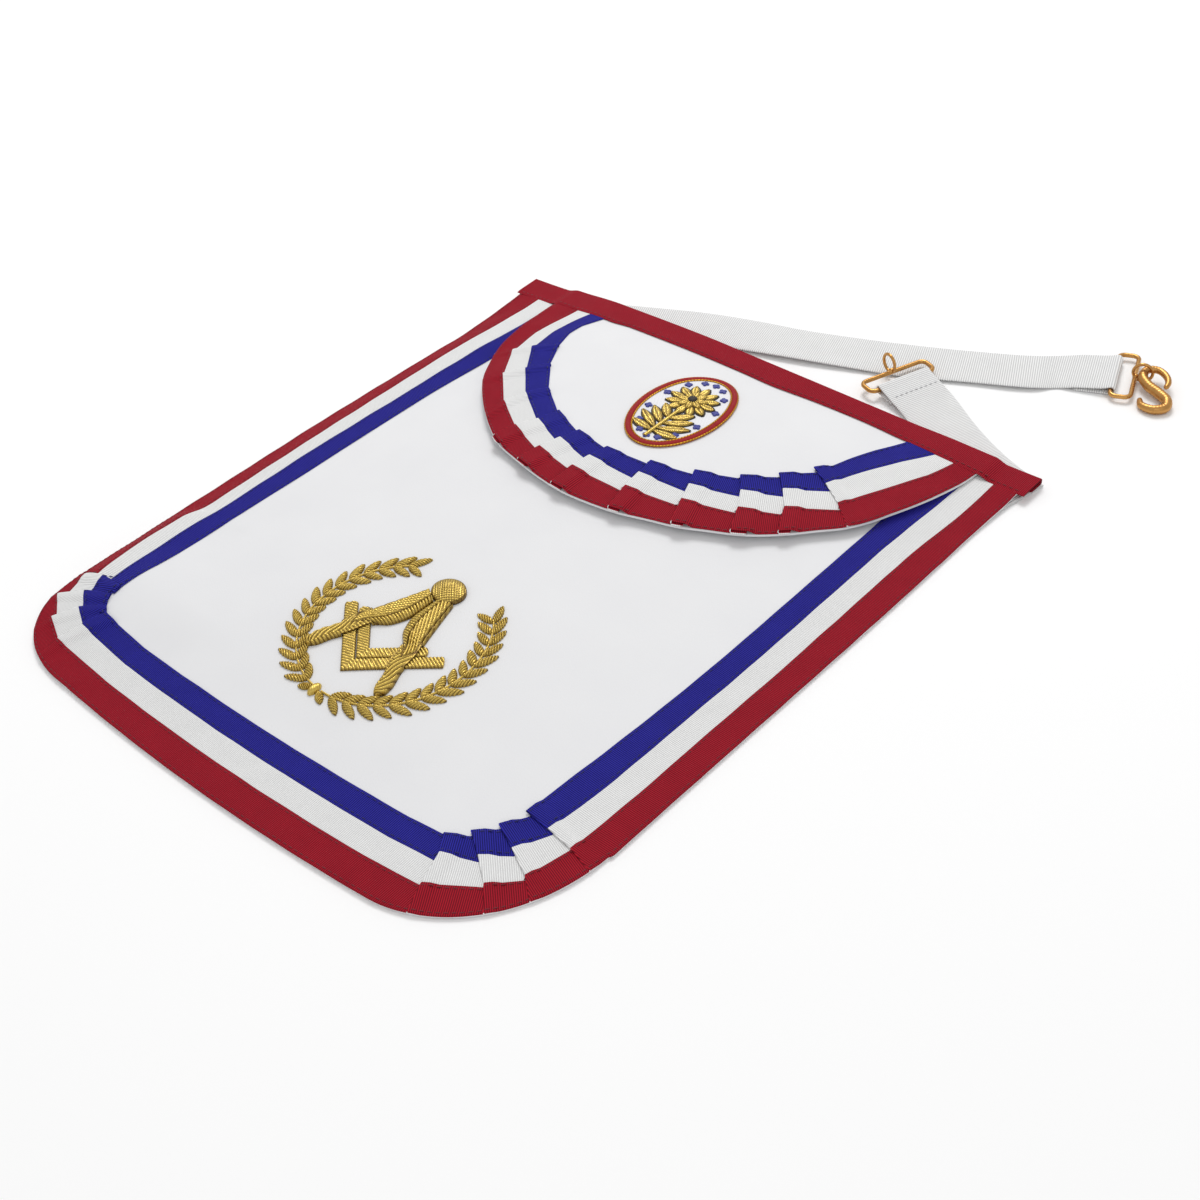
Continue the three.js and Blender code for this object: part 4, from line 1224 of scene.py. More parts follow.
@dataclass
class Trim:
    """Three ribbons side by side along a line of stations, sewn down along their edges.

    The seams, the gap beside them and the insets of the stitches are shares of the width.
    """

    name: str
    top: HeightOf
    line: TrimLine
    bench: Bench
    width: float = 42.0
    blue: float = 0.32
    white: float = 0.64
    thick: float = 0.5
    rest: float = 0.35
    lip: float = 0.0
    step: float = 1.6
    across: tuple[float, ...] = (0, 0.02, 0.07, 0.2, 0.35, 0.5, 0.65, 0.8, 0.93, 0.98, 1)
    stitch_pitch: float = 3.4
    stitch_run: float = 1.2
    stitch_inset: float = 0.036
    hem_inset: float = 0.028
    seam: float = 0.0012
    thinner: float = 0.7

    def ripple(self, x: Array, y: Array) -> Array:
        """Gentle unevenness of sewn ribbon: a few crossing sines of 25 to 60 mm."""
        slow = 0.10 * np.sin(x / 6.1 + 0.6 * np.sin(y / 9)) * np.sin(y / 7.3 + 0.5)
        return slow + 0.08 * np.sin((x - y) / 4.3)

    def place(self, rows: dict[str, Array], shares: Array) -> tuple[Array, Array, Array]:
        """Middle points, turning normals and uv of the trim at some shares of its width.

        A share runs straight from seam to seam. Beyond 1 it goes on outwards and the ribbon
        turns down, by the square of the way, as a lip over the edge of the panel.

        Args:
            rows: Stations as arrays.
            shares: Shares of the width, from 0 at the inner edge to 1 at the outer.

        Returns:
            Points and normals, stations by shares by 3, and the uv in millimetres.
        """
        knots = np.array([0, self.blue, self.white, 1.0])
        part = np.clip(np.searchsorted(knots, shares, side="right") - 1, 0, 2)
        t = ((shares - knots[part]) / (knots[part + 1] - knots[part]))[None, :, None]
        plan = lerp(rows["marks"][:, part], rows["marks"][:, part + 1], t)
        inside = np.minimum(t, 1)
        under = lerp(rows["marks"][:, part], rows["marks"][:, part + 1], inside)
        fade = 1 - (1 - rows["fade"][:, None]) * ease(0.55, 0.95, shares)[None, :]
        z = self.top(under[..., 0], under[..., 1]) + self.ripple(plan[..., 0], plan[..., 1])
        z = z + self.rest + rows["level"][:, None] * self.line.layer * fade
        beyond = np.clip(shares - 1, 0, 1) * self.width
        z = z - (beyond**2 * 1.1 + beyond * 0.5)[None, :]
        middle = raised(plan, z)
        tilt = np.radians(rows["tilt"])[:, None]
        push = np.concatenate([-rows["along"] * np.sin(tilt), np.cos(tilt)], axis=1)
        run = rows["run"].astype(int)
        centre = rows["marks"].mean(axis=1)
        u = np.zeros(plan.shape[:2])
        for number in np.unique(run):
            mine = run == number
            shown = np.flatnonzero(mine & rows["seen"].astype(bool))
            way = unit(centre[shown[-1]] - centre[shown[0]])
            u[mine] = (plan[mine] - centre[shown[0]]) @ way
        v = np.broadcast_to(shares * self.width, u.shape)
        return middle, push[:, None, :], np.stack([u, v], axis=-1)

    def ribbon(self, rows: dict[str, Array], start: float, end: float, thick: float) -> Shape:
        """One ribbon: a thin slab with rolled edges, whose outer rim shows the white back
        where the trim is turned over.

        Args:
            rows: Stations as arrays.
            start: Share of the trim's width at the ribbon's inner edge.
            end: Share at its outer edge.
            thick: Its thickness.

        Returns:
            The closed mesh.
        """
        w = np.array(self.across)
        shares = lerp(start, end, w)
        edge = np.minimum(w, 1 - w)
        if end == 1 and self.lip:
            over = np.array([0.4, 0.75, 1.0]) * self.lip / self.width
            shares = np.concatenate([shares, 1 + over])
            edge = np.concatenate([edge[:-1], [0.1, 0.1, 0.1, 0]])
        middle, push, uv = self.place(rows, shares)
        turned = rows["tilt"] > 20
        full = turned[:, None] & (shares >= 1)[None, :]
        half = thick / 2 * np.maximum(np.clip(0.45 + edge / 0.06, 0, 1)[None, :], full)[..., None]
        rim = turned[:-1].astype(int) if end == 1 else 0
        wrap = 1 if end == 1 else 0
        return slab(middle + push * half, middle - push * half, uv, rim=rim, wrap=wrap)

    def stitches(self, rows: dict[str, Array], share: float) -> Shape:
        """A row of machine stitches at one share of the width, on what shows of the trim."""
        middle, _, _ = self.place(rows, np.array([share]))
        path = middle[rows["seen"].astype(bool), 0]
        along = arc_length(path[:, :2])
        at = np.arange(2.0, along[-1] - 2, self.stitch_pitch)
        spots, ahead = (
            np.stack([np.interp(spot, along, path[:, i]) for i in range(3)], axis=-1)
            for spot in (at, at + self.stitch_run)
        )
        turns = np.arctan2(ahead[:, 1] - spots[:, 1], ahead[:, 0] - spots[:, 0])
        spots[:, 2] += self.thick / 2
        return repeated(stitch_shape(), spots, turns)

    def build(self) -> None:
        rows = self.line.spread(self.step)
        length = arc_length(self.place(rows, np.array([0.5]))[0][:, 0])[-1]
        gap, inset = self.seam, self.stitch_inset
        parts = (
            ("blue", 0.0, self.blue - gap, self.thick, Look.BLUE),
            ("white", self.blue + gap, self.white - gap, self.thick * self.thinner, Look.WHITE),
            ("red", self.white + gap, 1.0, self.thick, Look.RED),
        )
        for colour, start, end, thick, look in parts:
            piece = self.bench.piece(
                f"{self.name}_ribbon_{colour}_sewn",
                self.ribbon(rows, start, end, thick),
                [look, Look.REVERSE] if end == 1 else [look],
                f"{colour}_grosgrain",
                [f"{self.name}_ribbon_{colour}"],
            )
        threads = (
            ("red", (self.white + inset, 1 - self.hem_inset), Look.THREAD_RED),
            ("blue", (inset, self.blue - inset), Look.THREAD_BLUE),
        )
        for colour, shares, look in threads:
            shape = joined([self.stitches(rows, share) for share in shares])
            self.bench.piece(
                f"{self.name}_stitching_{colour}", shape, [look], f"{colour}_grosgrain"
            )


def stitch_shape(length: float = 2.5, radius: float = 0.3) -> Shape:
    """One stitch along x: a low capsule whose ends dip into the cloth."""
    t = np.linspace(0, 1, 5)
    path = np.stack([t * length, 0 * t, 0.10 * np.sin(np.pi * t) - 0.05], axis=-1)
    return tube(path, radius * np.array([0.35, 0.85, 1, 0.85, 0.35]), 6)


def flap_line(flap: FlapForm, layer: float) -> TrimLine:
    """Line of the flap's trim: it starts at the left end of the waist and follows the edge."""
    line = TrimLine(layer, flap.outline())
    line.plain((-98.5, -20), (-110.5, -20), (-121, -20), (-141, -20))
    line.plain((-102.8, -44), (-111.8, -45), (-121, -46), (-137.5, -45))
    line.plain((-101.5, -56), (-111.9, -59), (-121.8, -64), (-134.8, -61))
    for row in FLAP_FOLDS:
        across = unit(np.array(row[4:6]) - np.array(row[0:2]))
        line.knife(row, np.array([-across[1], across[0]]), 1.5 if row[12] > 3 else 0.0)
    line.plain((93.3, -67.8), (105, -70), (118, -82), (136, -87))
    line.plain((96, -59), (108.8, -62), (124, -68.5), (141.5, -71))
    line.plain((102, -42), (118.3, -42), (135, -42.5), (149.3, -43))
    line.plain((112, -20), (131, -20), (141, -20), (154.2, -20))
    return line


def body_line(body: BodyForm, layer: float) -> TrimLine:
    """Line of the body's trim: down the left side, along the hem and up the right side."""
    line = TrimLine(layer, body.outline())

    def side(table: dict[str, list[float]], edge: Array, y: float) -> None:
        """Adds a plain station at y, from the table of its seams and its edge."""
        at = table["y"][::-1]
        seams = [float(through(at, table[name][::-1], y)) for name in ("inner", "blue", "white")]
        line.plain(*((x, y) for x in (*seams, float(edge))))

    for y in (-20, -40, -58, -75, -95, -120, -150, -180, -210, -235, -258, -280, -300, -318, -335):
        side(LEFT_SEAMS, body.left_edge(float(y)), y)
    for row, turn in zip(LEFT_FOLDS, LEFT_TURNS):
        line.knife(row, heading_of(turn), 0.0)
    for x, wide in ((-90, 38.4), (-60, 39.4), (-20, 40.6), (20, 41.6), (60, 42.2), (90, 42.4)):
        low = float(body.hem(x))
        line.plain(*((x, low + wide * share) for share in (1, 0.69, 0.376, 0)))
    for row, turn in zip(RIGHT_FOLDS, RIGHT_TURNS):
        line.knife(row, heading_of(turn), 0.0)
    for y in (-322, -300, -275, -250, -225, -200, -165, -130, -100, -80, -60, -40, -20):
        side(RIGHT_SEAMS, body.right_edge(float(y)), y)
    return line


@dataclass
class Binding:
    """Waist binding: a ribbon folded over the waist edge, sewn along its front edge."""

    body: BodyForm
    flap: FlapForm
    bench: Bench
    thick: float = 0.7
    back: float = 9.0
    left: float = -173.5
    right: float = 181.5
    columns: int = 360
    layer: float = 0.3
    swell: float = 1.0
    slack: float = 0.15
    rolled: float = 0.45
    stitch_pitch: float = 3.6
    stitch_in: float = 1.9

    @property
    def fold(self) -> float:
        """y at which the ribbon begins to turn round the waist edge."""
        return self.body.waist + self.layer

    def over(self, x: Array, y: Array) -> Array:
        """Height just over what the front leg lies on: the flap, or the body beside it."""
        on_flap = ease(-147, -137, x) * ease(162, 154, x)
        return self.body.top(x, y) + self.layer + on_flap * (self.flap.lift(x, y) + 0.1)

    def front_edge(self, x: Array) -> Array:
        """y of the front edge, read from its table."""
        return through(BINDING_EDGE["x"], BINDING_EDGE["y"], x)

    def shape(self) -> Shape:
        """Slab along x whose section runs up the front, round the edge and down the back."""
        x = np.linspace(self.left, self.right, self.columns)[:, None]
        y0 = self.fold
        low = self.front_edge(x)
        t = np.linspace(0, 1, 9)[None, :]
        front_y = lerp(low, y0, t)
        wide = np.broadcast_to(x, front_y.shape)
        front_z = self.over(wide, front_y)
        turn = np.linspace(0, np.pi, 9)[None, 1:-1]
        under = self.body.thick + self.layer
        high, deep = front_z[:, -1:], self.body.top(x, np.full_like(x, y0)) - under
        back_y = lerp(y0, y0 - self.back, np.linspace(0, 1, 5)[None, :])
        back_y = np.broadcast_to(back_y, (len(x), 5))
        back_z = self.body.top(np.broadcast_to(x, back_y.shape), back_y) - under
        middle, radius = (high + deep) / 2, (high - deep) / 2
        inside = y0 + self.slack * np.sin(turn) + 0 * x
        outside = y0 + self.swell * np.sin(turn) ** 0.6 + 0 * x
        inner_y, outer_y = (np.hstack([front_y, bulge, back_y]) for bulge in (inside, outside))
        inner_z, outer_z = (
            np.hstack([front_z + out, middle + (radius + out) * np.cos(turn), back_z - out])
            for out in (0, self.thick)
        )
        outer_z[:, 0] -= self.rolled * self.thick
        outer_z[:, -1] += self.rolled * self.thick
        wide = np.broadcast_to(x, inner_y.shape)
        upper = np.stack([wide, outer_y, outer_z], axis=-1)
        lower = np.stack([wide, inner_y, inner_z], axis=-1)
        across = arc_length(upper[len(x) // 2])
        uv = np.stack([wide, np.broadcast_to(across, wide.shape)], axis=-1)
        return slab(upper, lower, uv)

    def build(self) -> None:
        """Makes the binding and its line of stitches."""
        piece = self.bench.piece(
            "waist_binding", self.shape(), [Look.RED], "red_grosgrain", ["top_binding"]
        )
        x = np.arange(self.left + 3, self.right - 4, self.stitch_pitch)
        y = self.front_edge(x) + self.stitch_in
        spots = np.stack([x, y, self.over(x, y) + self.thick], axis=-1)
        shape = repeated(stitch_shape(), spots, np.zeros(len(x)))
        self.bench.piece("binding_stitching", shape, [Look.THREAD_RED], "red_grosgrain")


@dataclass(frozen=True)
class StrapEnd:
    """End of a strap: where the wire lies, its heading, the hem's length and its lift, how far
    out and up the eye stands, and whether the hem's stitches show."""

    x: float
    y: float
    heading: float
    hem: float
    lift: float
    eye_out: float
    eye_up: float
    sewn: bool

    def place(self, s: Any, w: Any, z: Any) -> Array:
        """Points in the end's own frame, brought to the part's.

        Args:
            s: Distance along the heading from the wire.
            w: Distance to the left of it.
            z: Height over the table, without the end's lift.

        Returns:
            The points, n by 3. Where one value is given, it holds for all of them.
        """
        along = heading_of(self.heading)
        x = self.x + along[0] * s - along[1] * w
        y = self.y + along[1] * s + along[0] * w
        return np.stack(np.broadcast_arrays(x, y, z + self.lift), axis=-1)


@dataclass
class Strap:
    """White webbing laid from under the waist and hemmed round its wire slide."""

    name: str
    table: dict[str, list[float]]
    end: StrapEnd
    bench: Bench
    node: str
    slide_node: str
    thick: float = 1.2
    width: float = 33.0
    wire: float = 1.3
    gap: float = 0.3
    wire_length: float = 42.0
    wire_depth: float = 11.0
    bend: float = 3.6
    eye: float = 5.2
    eye_wire: float = 0.9

    @property
    def axis(self) -> float:
        """Height of the wire's middle over the table, without the end's lift."""
        return self.thick + self.gap + self.wire + self.gap

    def middle_line(self) -> tuple[Array, Array, Array]:
        """Left edge, right edge and normal of the webbing at each step of its length.

        The laid part is a smooth curve through its table. The end rises over its own hem,
        goes round the wire in a half circle and comes back underneath.
        """
        half = self.width / 2
        turn = np.radians(np.array(self.table["heading"], float))
        side = np.stack([-np.sin(turn), np.cos(turn)], axis=-1)
        plan = np.stack([self.table["x"], self.table["y"]], axis=-1)
        mid = self.thick / 2
        left = np.column_stack([plan + side * half, np.array(self.table["left"]) + mid])
        right = np.column_stack([plan - side * half, np.array(self.table["right"]) + mid])
        radius = self.wire + self.gap + mid
        foot = -self.end.hem - 6.0
        near = np.array([foot, foot + 3.0])
        near_z = np.array([0.9, 1.5])
        last = [self.end.place(near, w, near_z) for w in (half, -half)]
        rows = np.column_stack([np.vstack([left, last[0]]), np.vstack([right, last[1]])])
        laid = smooth_path(rows, int(arc_length(rows[:, :3])[-1] / 2.0))
        s = np.linspace(foot + 4.0, 0, 24)
        knots = [foot + 3.0, -self.end.hem, -radius - 2, 0]
        rise = through(knots, [1.5, 2.2, self.axis + 1, self.axis + radius], s)
        t = np.linspace(np.pi / 2, -np.pi / 2, 17)[1:]
        back = np.linspace(0, 1 - self.end.hem, 12)[1:]
        back_z = lerp(self.axis - radius, mid + 0.1, ease(0, 1 - self.end.hem, back))
        path_s = np.concatenate([s, radius * np.cos(t), back])
        path_z = np.concatenate([rise, self.axis + radius * np.sin(t), back_z])
        ends = [self.end.place(path_s, w, path_z) for w in (half, -half)]
        left = np.vstack([laid[:, :3], ends[0]])
        right = np.vstack([laid[:, 3:], ends[1]])
        tangent = unit(np.gradient((left + right) / 2, axis=0))
        normal = unit(np.cross(tangent, unit(left - right)))
        return left, right, normal

    def webbing(self) -> Shape:
        """Slab between the two edges, its selvedges a little rounded."""
        left, right, normal = self.middle_line()
        w = np.array([0, 0.012, 0.04, 0.12, 0.25, 0.4, 0.5, 0.6, 0.75, 0.88, 0.96, 0.988, 1])
        middle = lerp(left[:, None], right[:, None], w[None, :, None])
        edge = np.minimum(w, 1 - w)
        half = self.thick / 2 * np.clip(0.5 + edge / 0.05, 0, 1)[None, :, None]
        along = arc_length((left + right) / 2)
        push = normal[:, None] * half
        return slab(middle + push, middle - push, pairs(along, w * self.width))

    def hem_stitches(self) -> Shape:
        """A row of stitches across the strap, through the hem."""
        w = np.arange(-self.width / 2 + 2, self.width / 2 - 3, 3.2)
        spots = self.end.place(2.0 - self.end.hem, w, 2.9 + self.thick / 2)
        turns = np.full(len(w), math.radians(self.end.heading + 90))
        return repeated(stitch_shape(2.2, 0.3), spots, turns)

    def slide(self) -> Shape:
        """Wire loop with round corners, and the eye soldered to its outer bar."""
        half, r = self.wire_length / 2, self.bend
        turn = np.radians(np.linspace(0, 90, 9))
        # The middles of the corners stand one bend in, so the inner bar lies at s = 0.
        near, far, wide = r, self.wire_depth - r, half - r
        centres = np.array([(far, wide), (near, wide), (near, -wide), (far, -wide)])
        angles = turn + np.arange(4)[:, None] * np.pi / 2
        s, w = (centres[:, None] + r * rays(angles)).reshape(-1, 2).T
        loop = tube(self.end.place(s, w, self.axis), self.wire, 16, closed=True)
        t = full_turn(40)
        ring_s = self.wire_depth + self.end.eye_out + self.eye * np.cos(t)
        ring_z = self.axis + self.end.eye_up + self.eye * np.sin(t)
        across = heading_of(self.end.heading + 90)
        path = self.end.place(ring_s, 0.0, ring_z)
        ring = tube(path, self.eye_wire, 12, up=(*across, 0), closed=True)
        # A bead of solder where the eye meets the outer bar.
        reach = np.linspace(-2.6, 2.6, 9)
        bead = self.end.place(self.wire_depth + 0.3, reach, self.axis + 0.4)
        size = 1.75 * np.sqrt(np.clip(1 - (reach / 2.62) ** 2, 0.01, 1))
        return joined([loop, ring, tube(bead, size, 12)])

    def build(self) -> None:
        """Makes the webbing, its hem stitches and the slide."""
        shape = self.webbing()
        piece = self.bench.piece(self.name, shape, [Look.WEBBING], "webbing", [self.node])
        left, right, _ = self.middle_line()
        if self.end.sewn:
            self.bench.piece(
                f"{self.name}_hem_stitching", self.hem_stitches(), [Look.THREAD_WHITE], "webbing"
            )
        self.bench.piece(
            f"{self.name}_wire_slide", self.slide(), [Look.WIRE], "gilt", [self.slide_node]
        )


@dataclass
class CastHook:
    """S hook hanging in the eye of the long strap's slide."""

    end: StrapEnd
    bench: Bench
    steps: int = 150
    sides: int = 20
    ring_pitch: float = 1.7
    ring_depth: float = 0.035

    def build(self) -> None:
        """Bar along the S whose radius swells at the middle, with shallow cast rings."""
        table = np.column_stack([HOOK[k] for k in ("x", "y", "z", "r")]).astype(float)
        path = smooth_path(table, self.steps)
        t = np.linspace(0, 1, self.steps)
        rounding = np.sqrt(np.clip(np.minimum(t, 1 - t) / 0.018, 0.02, 1))
        along = arc_length(path[:, :3])
        shown = ease(0.05, 0.15, t) * ease(0.97, 0.9, t)
        rings = 1 + self.ring_depth * np.sin(2 * np.pi * along / self.ring_pitch) * shown
        spots = self.end.place(path[:, 0], path[:, 1], path[:, 2])
        shape = tube(spots, path[:, 3] * rounding * rings, self.sides)
        self.bench.piece("cast_s_hook", shape, [Look.CASTING], "gilt", ["s_hook"])


@dataclass
class Emblem:
    """Square, compasses and laurel wreath laid in gilt purl on the body panel.

    Shapes are made in the emblem's own frame, which is then turned and moved to its place.
    """

    body: BodyForm
    bench: Bench
    x: float = 3.3
    y: float = -304.0
    turn: float = -3.3
    centre: tuple[float, float] = (0.8, 5.6)
    rx: float = 46.2
    low: float = 47.0
    high: float = 48.6
    pairs: int = 15
    first: float = 11.5
    last: float = 139.5
    leaf_width: float = 4.6
    cord: float = 1.75
    leg_tall: float = 3.4
    square_tall: float = 1.6
    angle: float = 42.6
    corner: tuple[float, float] = (0.3, -27.3)
    band: float = 6.9
    full: float = 13.3
    short: float = 40.6
    arms: tuple[float, float] = (44.9, 48.8)
    head_place: tuple[float, float] = (-0.2, 41.8)
    head_size: tuple[float, float] = (9.0, 8.5)
    head_tall: float = 4.2
    weave: float = 0.85
    rest: float = 0.15

    def lay(self, name: str, shape: Shape, replaces: Sequence[str]) -> None:
        """Lays a relief on the body panel and dresses it in purl."""
        laid = shape.turned(self.turn).moved(self.x, self.y).draped(self.body.top, self.rest)
        self.bench.piece(name, laid, [Look.PURL], "bullion", replaces, crease=70)

    def ellipse(self, turn: Array, sign: float) -> Array:
        """Point of the wreath's middle line at a turn in radians from its foot."""
        tall = np.where(np.cos(turn) > 0, self.low, self.high)
        x = self.centre[0] + sign * self.rx * np.sin(turn)
        return np.stack([x, self.centre[1] - tall * np.cos(turn)], axis=-1)

    def leaf(self, sign: float, length: float) -> Shape:
        """One blunt leaf along x: a mound crossed by slanting cords with deep gaps.

        Args:
            sign: Side to which the cords slant.
            length: Length from foot to tip.

        Returns:
            The closed mesh.
        """
        s = np.linspace(0, 1, 45)[:, None]
        w = np.linspace(-1, 1, 11)[None, :]
        half = self.leaf_width / 2
        width = np.maximum(half * np.sin(np.pi * np.clip(s, 0.02, 0.98) ** 0.85) ** 0.55, 0.12)
        x = s * length + 0 * w
        y = width * w
        cord = np.abs(np.cos(np.pi * (x + sign * y) / self.cord))
        y = y * (0.86 + 0.2 * cord)
        body = np.sqrt(np.clip(1 - 0.92 * w**2, 0, 1)) * (width / half) ** 0.5
        height = 0.12 + 1.9 * body * (0.35 + 0.65 * cord)
        # Painted shade: low between the cords and towards the leaf's sides.
        return relief(np.stack([x, y], axis=-1), height, proud=cord * (0.45 + 0.55 * body))

    def spray(self, sign: float) -> Shape:
        """A stem along the ellipse with a pair of leaves at each node."""
        turns = np.radians(np.linspace(self.first, self.last, self.pairs))
        path = self.ellipse(np.radians(np.linspace(3, self.last, 120)), sign)
        stem = tube(raised(path, 0.45), 0.55, 10)
        ahead = unit(self.ellipse(turns + 0.02, sign) - self.ellipse(turns - 0.02, sign))
        heading = np.arctan2(ahead[:, 1], ahead[:, 0])
        base = self.ellipse(turns, sign) - ahead * 0.8
        origins = raised(base, 0)
        size = 1 - 0.08 * np.abs(np.sin(7 * turns))
        sizes = np.column_stack([size, size, np.ones(len(size))])
        share = np.linspace(0, 1, self.pairs)
        parts = [stem]
        for side, foot, top, length in ((sign, 33, 49, 11.0), (-sign, 40, 24, 13.0)):
            lean = side * np.radians(lerp(foot, top, share))
            parts.append(repeated(self.leaf(side, length), origins, heading + lean, sizes))
        return joined(parts)

    def tie(self) -> Shape:
        """Small upright knot between the sprays, with a leaf hanging on either side."""
        outline = rays(full_turn(24)) * np.array([2.3, 4.0]) + np.array([-0.15, -42.6])
        knot = dome(outline, np.array([1.0, 0.9, 0.7, 0.4]), np.array([0.6, 1.4, 2.0, 2.3]))
        origins = np.array([[-2.8, -42.4, 0.0], [2.6, -42.4, 0.0]])
        turns = np.radians([214.0, -34.0])
        sizes = np.array([[0.6, 0.9, 1], [0.68, 0.9, 1]])
        return joined([knot, repeated(self.leaf(1, 11.0), origins, turns, sizes)])

    def square_arm(
        self, sign: float, low: float, high: float, length: float, blunt: float
    ) -> Shape:
        """One band of one arm, mitred on the square's middle line.

        Args:
            sign: 1 for the right arm, -1 for the left.
            low: Distance of the band's outer side from the arm's outer side.
            high: Distance of its inner side.
            length: Length from the corner.
            blunt: How far its end is rounded off, as a share of half its width.

        Returns:
            The closed mesh.
        """
        angle = math.radians(self.angle)
        along = np.array([sign * math.cos(angle), math.sin(angle)])
        up = np.array([-sign * along[1], sign * along[0]])
        share = np.linspace(0, 1, 19)[None, :, None]
        w = lerp(low, high, share)
        arch = np.sqrt(np.clip(1 - (2 * share - 1) ** 2, 0, 1))
        end = length - blunt * (high - low) / 2 * (1 - arch)
        s = lerp(w * math.tan(angle), end, np.linspace(0, 1, 170)[:, None, None])
        plan = np.array(self.corner) + along * s + up * w
        edge = np.clip(np.minimum(share, 1 - share)[..., 0] / 0.1, 0, 1) ** 0.5
        cord = np.abs(np.cos(np.pi * (s[..., 0] + 0.55 * w[..., 0]) / self.cord))
        height = self.square_tall * (0.4 + 0.6 * edge) * (0.6 + 0.4 * cord)
        # Painted shade: low between the cords and at the band's edges.
        return relief(plan, height, proud=cord * (0.3 + 0.7 * edge))

    def square(self) -> Shape:
        """Two arms, each an outer band and a shorter inner one with a groove between."""
        bands, gap = [], 0.15
        for sign, length in zip((-1.0, 1.0), self.arms):
            bands.append(self.square_arm(sign, 0.0, self.band - gap, length, 0.2))
            bands.append(self.square_arm(sign, self.band + gap, self.full, self.short, 0.9))
        return joined(bands)

    def over_square(self, plan: Array) -> Array:
        """1 where a point of the plan lies over the square, else 0."""
        angle = math.radians(self.angle)
        from_corner = plan - np.array(self.corner)
        x = np.abs(from_corner[..., 0])
        s = x * math.cos(angle) + from_corner[..., 1] * math.sin(angle)
        w = -x * math.sin(angle) + from_corner[..., 1] * math.cos(angle)
        spare = 0.6
        reach = np.where(w > self.band, self.short, self.arms[1]) + spare
        return ((w > -spare) & (w < self.full + spare) & (s < reach)).astype(float)

    def leg(self, sign: float) -> Shape:
        """One compass leg between its two sides. Its upper half has a panel of long slanting
        cords that ends in a tongue, and a strip of short ribs; its point is laid like rope."""
        knots = np.arange(len(LEG["ox"]))
        t = np.linspace(0, knots[-1], 230)
        outer, inner = (
            np.stack([through(knots, LEG[a], t), through(knots, LEG[b], t)], axis=-1)
            for a, b in (("ox", "oy"), ("ix", "iy"))
        )
        share = np.linspace(0, 1, 33)[None, :]
        plan = lerp(outer[:, None], inner[:, None], share[..., None])
        along = arc_length((outer + inner) / 2)[:, None]
        across = share * np.linalg.norm(inner - outer, axis=1)[:, None]
        t = t[:, None]
        tongue = 2.7 + 0.9 * (1 - np.abs(2 * share - 1))
        upper = 1 - ease(-0.05, 0.05, t - tongue)
        edge = np.clip(np.minimum(share, 1 - share) / 0.12, 0, 1) ** 0.5
        strands = np.abs(np.cos(np.pi * (across + 0.32 * along) / 1.7))
        short = np.abs(np.cos(np.pi * along / self.cord))
        rope = np.abs(np.cos(np.pi * (across - 0.38 * along) / 1.9))
        point = np.where(share > 0.78, short, rope)
        cord = lerp(point, np.where(share > 0.66, short, strands), upper)
        groove = np.exp(-(((share - 0.66) / 0.03) ** 2)) + np.exp(-(((share - 0.1) / 0.025) ** 2))
        seam = np.exp(-(((t - tongue) / 0.07) ** 2))
        cut = np.clip(groove * upper + seam, 0, 1)
        crown = 1 - 0.25 * (2 * share - 1) ** 2
        height = self.leg_tall * (0.35 + 0.65 * edge) * crown * (0.72 + 0.28 * cord) - 0.9 * cut
        tip = np.clip((knots[-1] - t) / 0.3, 0, 1) ** 0.5
        height = np.maximum(height * (0.5 + 0.5 * tip), 0.4)
        if sign > 0:
            plan = plan * np.array([-1.0, 1.0])
        floor = (self.square_tall + 0.2) * self.over_square(plan)
        # Painted shade: low between the cords, in the grooves and the seam, and at the leg's sides.
        proud = cord * (1 - cut) * (0.35 + 0.65 * edge)
        return relief(plan, np.maximum(height, floor + 0.5), floor, proud)

    def head(self) -> Shape:
        """Round head in basket work: a low dome with a fine woven relief."""
        t = full_turn(96)
        middle = np.array(self.head_place)
        outline = middle + rays(t) * np.array(self.head_size)
        shares = np.concatenate([[1.0, 0.985], np.linspace(0.95, 0.03, 30)])
        plan = middle + (outline - middle) * shares[:, None, None]
        basket = np.prod(np.sin(np.pi * plan / self.weave), axis=-1)
        rise = self.head_tall * (1 - shares**2 * 0.55)[:, None] * np.ones((1, len(t)))
        rise[0] *= 0.55
        shape = dome(outline, shares, rise + 0.18 * basket * (shares < 0.94)[:, None])
        # Painted shade: low in the hollows of the basket work and round the rim.
        proud = np.clip(0.55 + 0.9 * basket, 0.05, 1) * np.where(shares < 0.94, 1, 0.3)[:, None]
        shape.proud = np.concatenate([np.zeros(len(t)), proud.ravel(), [0.6, 0.0]])
        return shape

    def build(self) -> None:
        """Makes the wreath, the square and the compasses."""
        self.lay("laurel_spray_left", self.spray(-1), ["wreath_spray_left"])
        self.lay("laurel_spray_right", self.spray(1), ["wreath_spray_right"])
        self.lay("laurel_knot", self.tie(), ["wreath_tie"])
        self.lay("purl_square", self.square(), ["emblem_square"])
        compasses = joined([self.leg(-1), self.leg(1), self.head()])
        self.lay("purl_compasses", compasses, ["emblem_compasses"])


